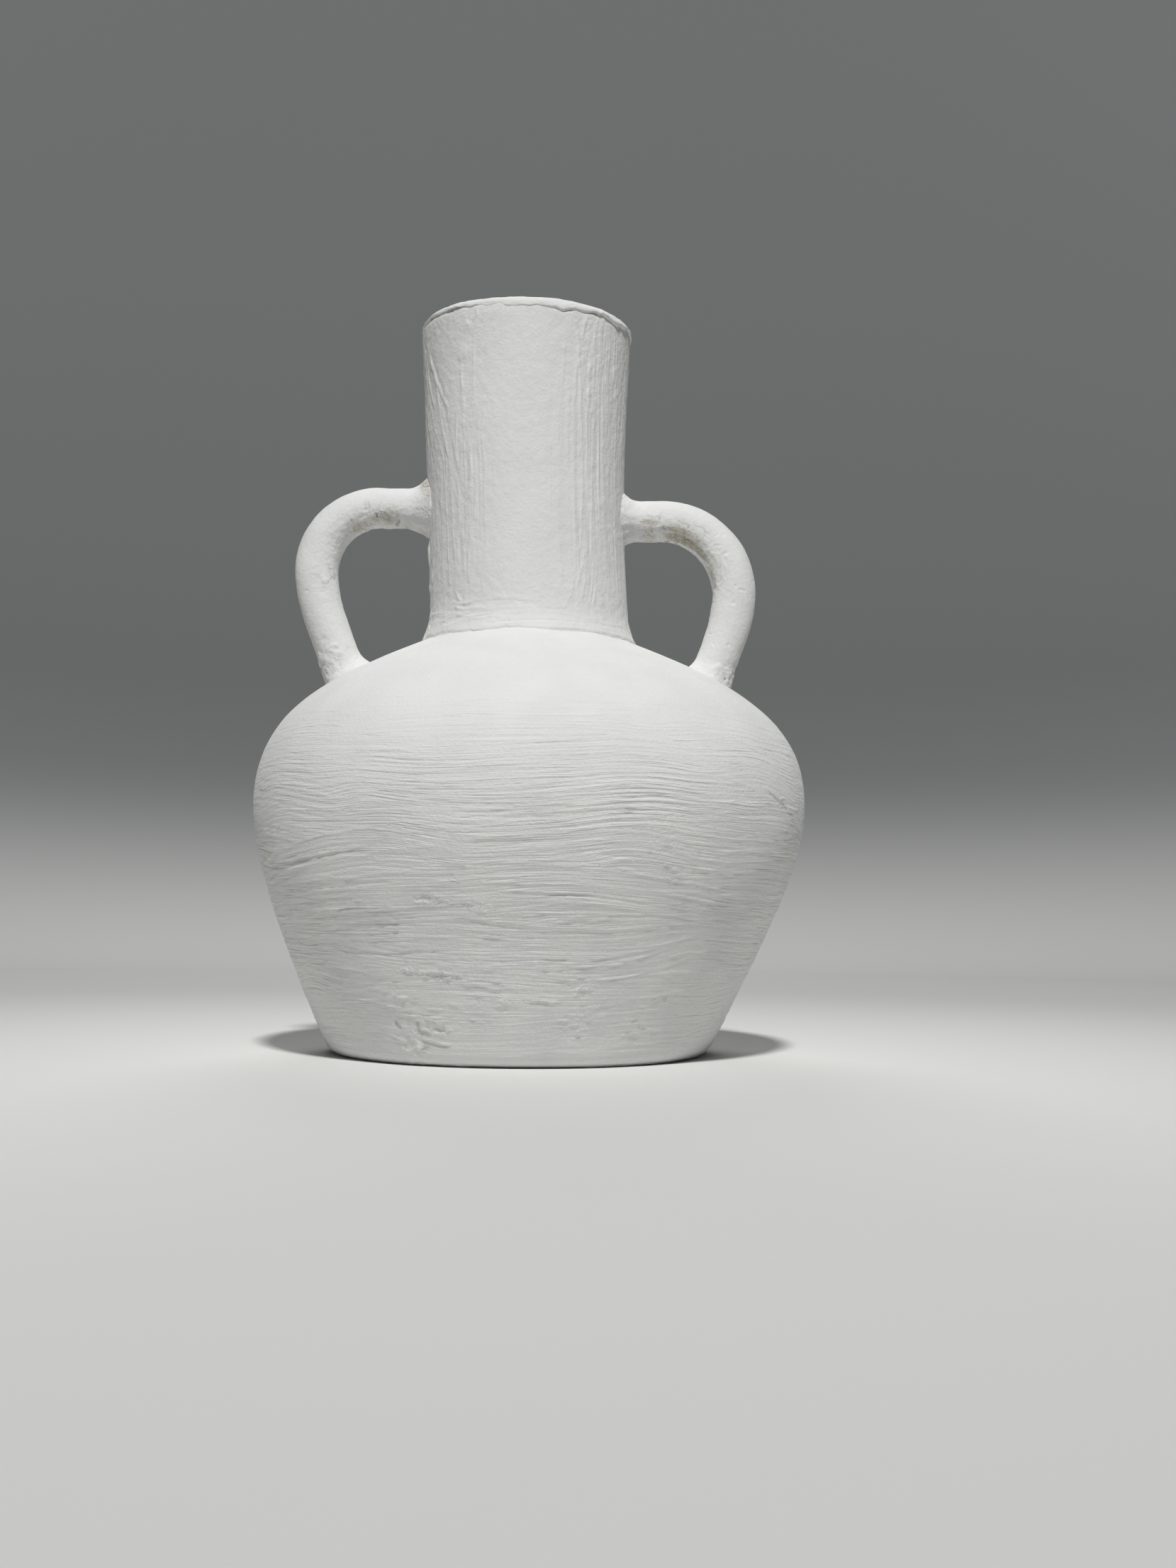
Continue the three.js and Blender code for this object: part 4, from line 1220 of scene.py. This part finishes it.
def press_coil(handle, mesh):
    """Shapes the round coil by hand: swells, wrinkles, pits and the flared, torn roots"""
    count = len(mesh.vertices)
    raw = np.empty(count * 3)
    mesh.vertices.foreach_get("co", raw)
    raw = raw.reshape(-1, 3) / MM
    share = np.empty(count)
    mesh.attributes["share"].data.foreach_get("value", share)
    run = share * (handle.length + 2 * BURIED) - BURIED
    centre, outward = handle.at(run)
    spoke = np.stack([raw[:, 0] - centre[:, 0], raw[:, 1], raw[:, 2] - centre[:, 1]], 1)
    side_out = spoke[:, 0] * outward[:, 0] + spoke[:, 2] * outward[:, 1]
    around = np.arctan2(-spoke[:, 1], side_out)
    radius = np.hypot(spoke[:, 1], side_out)
    left = handle.length - run
    turns = around / (2 * math.pi) + 0.5
    seed = 60 if handle.side < 0 else 80

    def field(cell_round, cell_along, number):
        cells = max(3, round(2 * math.pi * HANDLE_RADIUS / cell_round))
        return grain(turns * cells, run / cell_along + 50, seed + number, cells)

    inner = ease(0.35, -0.45, np.cos(around))
    level = ease(4.0, 14.0, run) * (1 - ease(44.0, 66.0, run))
    bend = ease(44.0, 66.0, run) * (1 - ease(handle.length * 0.62, handle.length * 0.8, run))
    rough = inner * (level + 0.45 * bend)
    foot = 1 - ease(4.0, 30.0, left)
    root = 1 - ease(2.0, 13.0, run)
    warp = 1.6 * field(5, 6, 1)
    fold = grain(turns * 18 + 0.3 * warp, (run + warp) / 4.0, seed + 2, 18)
    wrinkles = (1 - np.abs(fold)) ** 2 - 0.4 + 0.5 * field(2.0, 2.4, 3)
    crack_line = np.abs(grain(turns * 19, (run + warp) / 4.2, seed + 4, 19))
    cracks = (1 - ease(0.03, 0.15, crack_line)) * ease(0.1, 0.5, field(6, 9, 14))
    pits = ease(0.62, 0.86, field(2.6, 2.6, 5)) * ease(0.1, 0.7, field(9, 12, 6))
    swell = 0.42 * field(26, 24, 7) + 0.22 * field(13, 11, 8)
    skin = 0.05 * field(2.0, 2.0, 9) + 0.08 * field(4.2, 5.0, 10)
    outer_foot = ease(-0.1, 0.7, np.cos(around)) * foot
    relief = swell + skin + (0.26 * rough + 0.42 * outer_foot + 0.26 * root) * wrinkles
    relief -= 0.32 * rough * cracks + pits * (0.30 + 0.45 * outer_foot)
    outer_front = ease(-0.2, 0.5, 0.75 * np.cos(around) + 0.65 * np.sin(around))
    ledge = handle.lower_flare["collar"] + 3.4 * field(7, 9, 18) + 1.2 * field(3, 4, 19)
    collar = outer_front * (1 - ease(ledge - 1.6, ledge + 1.2, left))
    relief += collar * (0.45 + 0.40 * field(5.0, 4.5, 20) + 0.22 * field(2.4, 2.2, 21))
    stain = np.zeros(count)
    for mark_run, mark_turn, long, wide, proud, ring, stained in handle.marks:
        x = (run - mark_run) / long
        y = ((np.degrees(around) - mark_turn + 180) % 360 - 180) / wide
        reach = np.hypot(x, y) + 0.3 * field(3.0, 3.4, 15)
        relief += proud * hill(reach, 0.0, 1.0)
        relief += ring * hill(np.hypot(x, y), 1.0, 0.22)
        stain = np.maximum(stain, stained * (1 - ease(0.5, 1.3, reach)))
    torn = field(5.5, 900, 11) + 0.6 * field(2.4, 900, 12)
    upper = fourfold(around, *handle.upper_flare["spread"])
    lower = fourfold(around, *handle.lower_flare["spread"])
    upper_length = fourfold(around, *handle.upper_flare["length"]) + 1.2 * torn
    lower_length = fourfold(around, *handle.lower_flare["length"]) + 1.2 * torn
    near_neck = np.clip(1 - np.maximum(run, 0) / upper_length, 0, 1)
    near_shoulder = np.clip(1 - np.maximum(left, 0) / lower_length, 0, 1)
    flare = (upper + 0.6 * torn) * near_neck**2.2 + (lower + 0.6 * torn) * near_shoulder**2.2
    radius = radius + relief + flare
    points = np.stack([
        centre[:, 0] + radius * np.cos(around) * outward[:, 0],
        -radius * np.sin(around),
        centre[:, 1] + radius * np.cos(around) * outward[:, 1],
    ], 1)
    at_neck = 1 - ease(2.0, 16.0, run)
    at_shoulder = 1 - ease(2.0, 18.0, left)
    points[:, 0] += handle.side * lute_to_neck(handle, points) * at_neck
    shift = lute_to_shoulder(handle, points, left) * at_shoulder
    points[:, 0] += handle.up_leg[0] * shift
    points[:, 2] += handle.up_leg[1] * shift
    mesh.vertices.foreach_set("co", (points * MM).ravel())
    paint = {
        "across": turns * 2 * math.pi * HANDLE_RADIUS,
        "bite": 0.10 * np.ones(count),
        # painted shade in the cracks and pits, with darker patches in the stains
        "hollow": np.clip(
            0.5 * rough * cracks + 0.4 * pits * outer_foot
            + stain * np.clip(0.9 * cracks + 0.2 * field(3.0, 3.4, 17), 0, 1), 0, 0.8),
        # wear and stains that show the yellowish clay; through the grime the same value also lays
        # painted shade on the undersides
        "wear_and_shade": np.clip(
            0.78 * rough * (0.7 + 0.3 * field(9, 11, 13)) + 0.45 * near_neck + 0.25 * pits
            + stain * (0.9 + 0.2 * field(3.4, 4.0, 16)), 0, 1.3),
        "inside": np.zeros(count),
        "torn": np.clip(0.35 * collar + 0.30 * root + 0.25 * rough + 0.4 * stain, 0, 1),
        "crumbs": np.clip(near_shoulder * ease(-0.2, 0.8, np.cos(around)) + 0.4 * near_neck, 0, 1),
    }
    paint_points(mesh, paint)
    mesh.attributes.remove(mesh.attributes["share"])
    mesh.update()
    return mesh


def crumb_tree(finish):
    """Crumbs of dried coat, scattered where the crumbs attribute says"""
    bench, value = shaping_tree("coat_crumbs", {
        "Skin": "Geometry", "Per square metre": "Float", "Smallest": "Float",
        "Largest": "Float", "Seed": "Int"})
    where = bench.node(
        "GeometryNodeInputNamedAttribute", {"data_type": "FLOAT"}, {"Name": "crumbs"},
        output="Attribute")
    density = where ** 2.0 * value["Per square metre"]
    spots = bench.node(
        "GeometryNodeDistributePointsOnFaces", {"distribute_method": "RANDOM"},
        {"Mesh": value["Skin"], "Density": density, "Seed": value["Seed"]})
    crumb = bench.node(
        "GeometryNodeMeshIcoSphere", None, {"Radius": 1.0, "Subdivisions": 2})
    size = bench.node(
        "FunctionNodeRandomValue", {"data_type": "FLOAT"},
        {"Min_001": value["Smallest"], "Max_001": value["Largest"], "Seed": value["Seed"]},
        output="Value_001")
    spin = bench.node(
        "FunctionNodeRandomValue", {"data_type": "FLOAT_VECTOR"},
        {"Min": (0.0, 0.0, 0.0), "Max": (6.28, 6.28, 6.28), "Seed": value["Seed"]},
        output="Value")
    shape = bench.node("ShaderNodeCombineXYZ", None, {"X": size, "Y": size * 0.7, "Z": size * 0.55})
    crumbs = bench.node(
        "GeometryNodeInstanceOnPoints", None,
        {"Points": spots, "Instance": crumb, "Rotation": spin, "Scale": shape})
    return end_tree(bench, crumbs, finish)


# The vase
body_coat = chalk_coat("brushed_chalk_coat", 0.10, 0.34)
# the handles' coat shows more yellowish clay where worn, and more grime and painted shade there
handle_coat = chalk_coat("rubbed_handle_coat", 0.54, 0.32)
clay_finish = bare_clay()

belly = belly_face(turn_angles(BELLY_COLUMNS, 80.0))
coat_belly(belly)
seam_normals = grid_normals(dressed_rings(belly))[belly.belly_row]
lower_face = belly.part(slice(0, belly.belly_row + 1))
upper_face = belly.part(slice(belly.belly_row, None))

lower_inner = respace(lower_line(WALL), INSIDE_ROW)[::-1]
add_turned_piece(
    "lower_body_wall", lower_face, lower_inner, body_coat,
    ("lower_body", "base_slab"), poles=(0.0, FLOOR_THICKNESS), seams={-1: seam_normals})

shoulder_inner = respace(shoulder_line(WALL), INSIDE_ROW)[::-1]
neck_bore = NECK_FOOT_RADIUS - WALL
throat = np.array([(neck_bore, NECK_SEAT_Z), (neck_bore, shoulder_inner[0, 1])])
add_turned_piece(
    "shoulder_wall", upper_face, np.concatenate([throat, shoulder_inner]),
    body_coat, ("shoulder",), seams={0: seam_normals})

neck = neck_face(turn_angles(NECK_COLUMNS, 90.0))
coat_neck(neck)
neck_inner_z = np.linspace(NECK_TOP_Z + LIP_LAP, NECK_SEAT_Z, 20)
neck_inner = np.stack([neck_radius(np.minimum(neck_inner_z, NECK_TOP_Z)) - WALL, neck_inner_z], 1)
add_turned_piece(
    "neck_wall", neck, neck_inner, body_coat, ("neck", "neck_joint_coil"))

lip = lip_face(turn_angles(LIP_COLUMNS, 90.0))
lip_rings = roll_lip(lip)
lip_paint = {key: values.ravel() for key, values in lip.paint.items()}
lip_paint["inside"] = np.zeros(lip.relief.size)
add_piece(
    "rolled_lip", lip_rings.reshape(-1, 3), ring_faces(*lip.relief.shape, closed=True).tolist(),
    lip_paint, body_coat, ("rim_coil",))

handles = [
    Handle(
        "handle_left", -1, 80.5, 37.0, 102.5,
        {"spread": (5.5, 6.0, 5.0, 5.0), "length": (11, 11, 15, 12)},
        {"spread": (1.2, 4.0, 7.0, 4.0), "length": (8, 11, 16, 11), "collar": 19},
        [
            # run along the coil, degrees round it, long, wide in degrees, proud, ring, stain
            (24, 132, 9, 24, -0.2, 0, 0.22),
            (36, 148, 14, 18, 0, 0, 0.20),
            (50, 135, 6, 18, -0.5, 0, 0),
            (1, 30, 5, 60, 0, 0, 0.6),
            (3, 178, 5, 22, 0, 0, 0.5),
            (96, 118, 5, 10, 0.4, 0, 0),
            (101, 112, 3, 8, -0.4, 0, 0),
            (128, 70, 1.4, 8, -0.5, 0, 0),
            (136, 95, 1.2, 7, -0.45, 0, 0),
            (140, 35, 2.0, 8, -0.5, 0, 0),
            (156, 20, 3.0, 40, 0.8, 0, 0),
        ]),
    Handle(
        "handle_right", 1, 74.0, 42.0, 107.7,
        {"spread": (4.0, 4.0, 2.5, 4.0), "length": (9, 10, 8, 10)},
        {"spread": (1.2, 4.0, 4.5, 4.0), "length": (8, 11, 12, 11), "collar": 9},
        [
            # run along the coil, degrees round it, long, wide in degrees, proud, ring, stain
            (17, 66, 4.2, 20, 0, 0.25, 0),
            (13, 102, 8, 13, -0.15, 0, 0.55),
            (40, 148, 24, 17, 0, 0, 0.72),
            (52, 146, 15, 14, 0, 0, 0.82),
            (31, 120, 12, 10, 0, 0, 0.45),
            (4, 55, 3.0, 16, 0.5, 0, 0),
            (62, 118, 6, 9, 0.35, 0, 0),
            (75, 154, 12, 12, 0, 0, 0.62),
            (66, 92, 1.2, 9, -0.5, 0, 0),
            (69, 100, 3.0, 4, -0.4, 0, 0),
            (146, 92, 4.5, 16, 0.9, 0, 0),
            (149, 60, 4.0, 14, 0.9, 0, 0),
            (150, 80, 1.6, 8, -0.9, 0, 0),
        ]),
]
coil_nodes = coil_tree(handle_coat)
crumb_nodes = crumb_tree(handle_coat)
for number, handle in enumerate(handles):
    coil = press_coil(handle, roll_coil(handle, coil_nodes))
    crumbs = nodes_to_mesh(handle.name + "_crumbs", coil.copy(), crumb_nodes, {
        "Per square metre": CRUMBS_PER_SQUARE_METRE, "Smallest": SMALLEST_CRUMB,
        "Largest": LARGEST_CRUMB, "Seed": 7 + number})
    dress_with(
        coil, handle.name + "_coil",
        (handle.name, handle.name + "_upper_wad", handle.name + "_lower_wad"))
    dress_with(crumbs, handle.name + "_crumbs")

for node in ("floor_seam_coil", "belly_seam_coil"):
    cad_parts[node].data.materials.clear()
    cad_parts[node].data.materials.append(clay_finish)


# Floor, backdrop, lights and camera
def add_stage(name, line, finish):
    """A surface of the stage, turned round the upright axis from a line in metres"""
    turns = np.linspace(-math.pi, math.pi, 96, endpoint=False)
    rings = ring_points(line[:, 0:1], line[:, 1:2], turns, centre=np.zeros_like)
    mesh = bpy.data.meshes.new(name)
    faces = ring_faces(len(line), len(turns), closed=False)[:, ::-1].tolist()
    mesh.from_pydata(rings.reshape(-1, 3).tolist(), [], faces)
    mesh.shade_smooth()
    mesh.materials.append(finish)
    stage = put_in_scene(name, mesh)
    return stage


def stage_finish(name, near, far, starts, ends, output):
    """A plain matte colour that eases to another with height or with distance from the middle"""
    paper = Finish(name, **{"Specular IOR Level": 0.1})
    place = paper.place()
    if output == "Value":
        way = paper.node("ShaderNodeVectorMath", {"operation": "LENGTH"}, {0: place}, output="Value")
    else:
        way = paper.node("ShaderNodeSeparateXYZ", None, {"Vector": place}, output=output)
    colour = paper.blend(paper.between(way, starts, ends), near, far)
    return paper.close(colour, 0.9, paper.noise(place, 300.0) * 0.01)


# painted light: a paler pool of floor round the vase, easing to the floor colour between 0.1 m and
# 0.9 m from the middle
PAINTED_LIGHT_POOL = (0.74, 0.74, 0.72, 1.0)
FLOOR_COLOUR = (0.54, 0.54, 0.527, 1.0)
BACKDROP_COLOUR = (0.24, 0.25, 0.25, 1.0)
FLOOR_RADIUS = 1.5
COVE_RADIUS = 0.5
BACKDROP_HEIGHT = 3.2
# the floor carries a painted pool of light round the vase's foot
add_stage(
    "pale_floor", np.array([(0.001, 0.0), (0.4, 0.0), (FLOOR_RADIUS, 0.0)]),
    stage_finish("pale_floor", PAINTED_LIGHT_POOL, FLOOR_COLOUR, 0.10, 0.9, "Value"))
cove_end = FLOOR_RADIUS + COVE_RADIUS
cove = join(
    arc((FLOOR_RADIUS, COVE_RADIUS), COVE_RADIUS, -90.0, 0.0, 16),
    np.array([(cove_end, COVE_RADIUS), (cove_end, BACKDROP_HEIGHT)]))
backdrop = add_stage(
    "backdrop", cove, stage_finish("backdrop", FLOOR_COLOUR, BACKDROP_COLOUR, 0.0, 0.35, "Z"))
backdrop.visible_diffuse = False
backdrop.visible_shadow = False


def add_lamp(name, place, aim, size, power):
    data = bpy.data.lights.new(name, "AREA")
    data.shape, data.size, data.energy = "DISK", size, power
    lamp = put_in_scene(name, data)
    lamp.location = place
    lamp.rotation_euler = (Vector(aim) - Vector(place)).to_track_quat("-Z", "Y").to_euler()
    lamp.visible_camera = False


# Places and sizes in metres, power in watts
KEY_ELEVATION = math.radians(55.0)
KEY_DISTANCE = 4.0
KEY_SIZE, KEY_POWER = 0.38, 145.0
BACK_FILL_PLACE = (-0.2, 2.5, 1.9)
BACK_FILL_SIZE, BACK_FILL_POWER = 1.6, 27.0
WORLD_STRENGTH = 0.055
aim = Vector((0.0, -0.05, 0.2))
add_lamp("back_fill", BACK_FILL_PLACE, aim, BACK_FILL_SIZE, BACK_FILL_POWER)
key_way = Vector((0.03, -math.cos(KEY_ELEVATION), math.sin(KEY_ELEVATION)))
add_lamp("overhead_key", aim + KEY_DISTANCE * key_way, aim, KEY_SIZE, KEY_POWER)

world = bpy.data.worlds.new("studio_fill")
world.use_nodes = True
sky = world.node_tree.nodes["Background"].inputs
sky["Color"].default_value = (0.97, 0.98, 1.0, 1.0)
sky["Strength"].default_value = WORLD_STRENGTH
bpy.context.scene.world = world
bpy.context.scene.view_settings.view_transform = "Standard"

# The photograph's view: from low in front, a little to the right, looking slightly up
PHOTO_HEIGHT = 2212  # pixels
FOCAL_PIXELS = 2350
CAMERA_PLACE = (0.03285, -0.95957, 0.07766)
CAMERA_PITCH = math.radians(4.54)
CAMERA_ROLL = math.radians(0.57)
SENSOR = 36.0
camera_data = bpy.data.cameras.new("photo_view")
camera_data.sensor_width = SENSOR
camera_data.lens = SENSOR * FOCAL_PIXELS / PHOTO_HEIGHT
camera = put_in_scene("photo_view", camera_data)
camera.matrix_world = (
    Matrix.Translation(CAMERA_PLACE)
    @ Matrix.Rotation(math.pi / 2 + CAMERA_PITCH, 4, "X")
    @ Matrix.Rotation(CAMERA_ROLL, 4, "Z")
)
bpy.context.scene.camera = camera

bpy.context.view_layer.update()
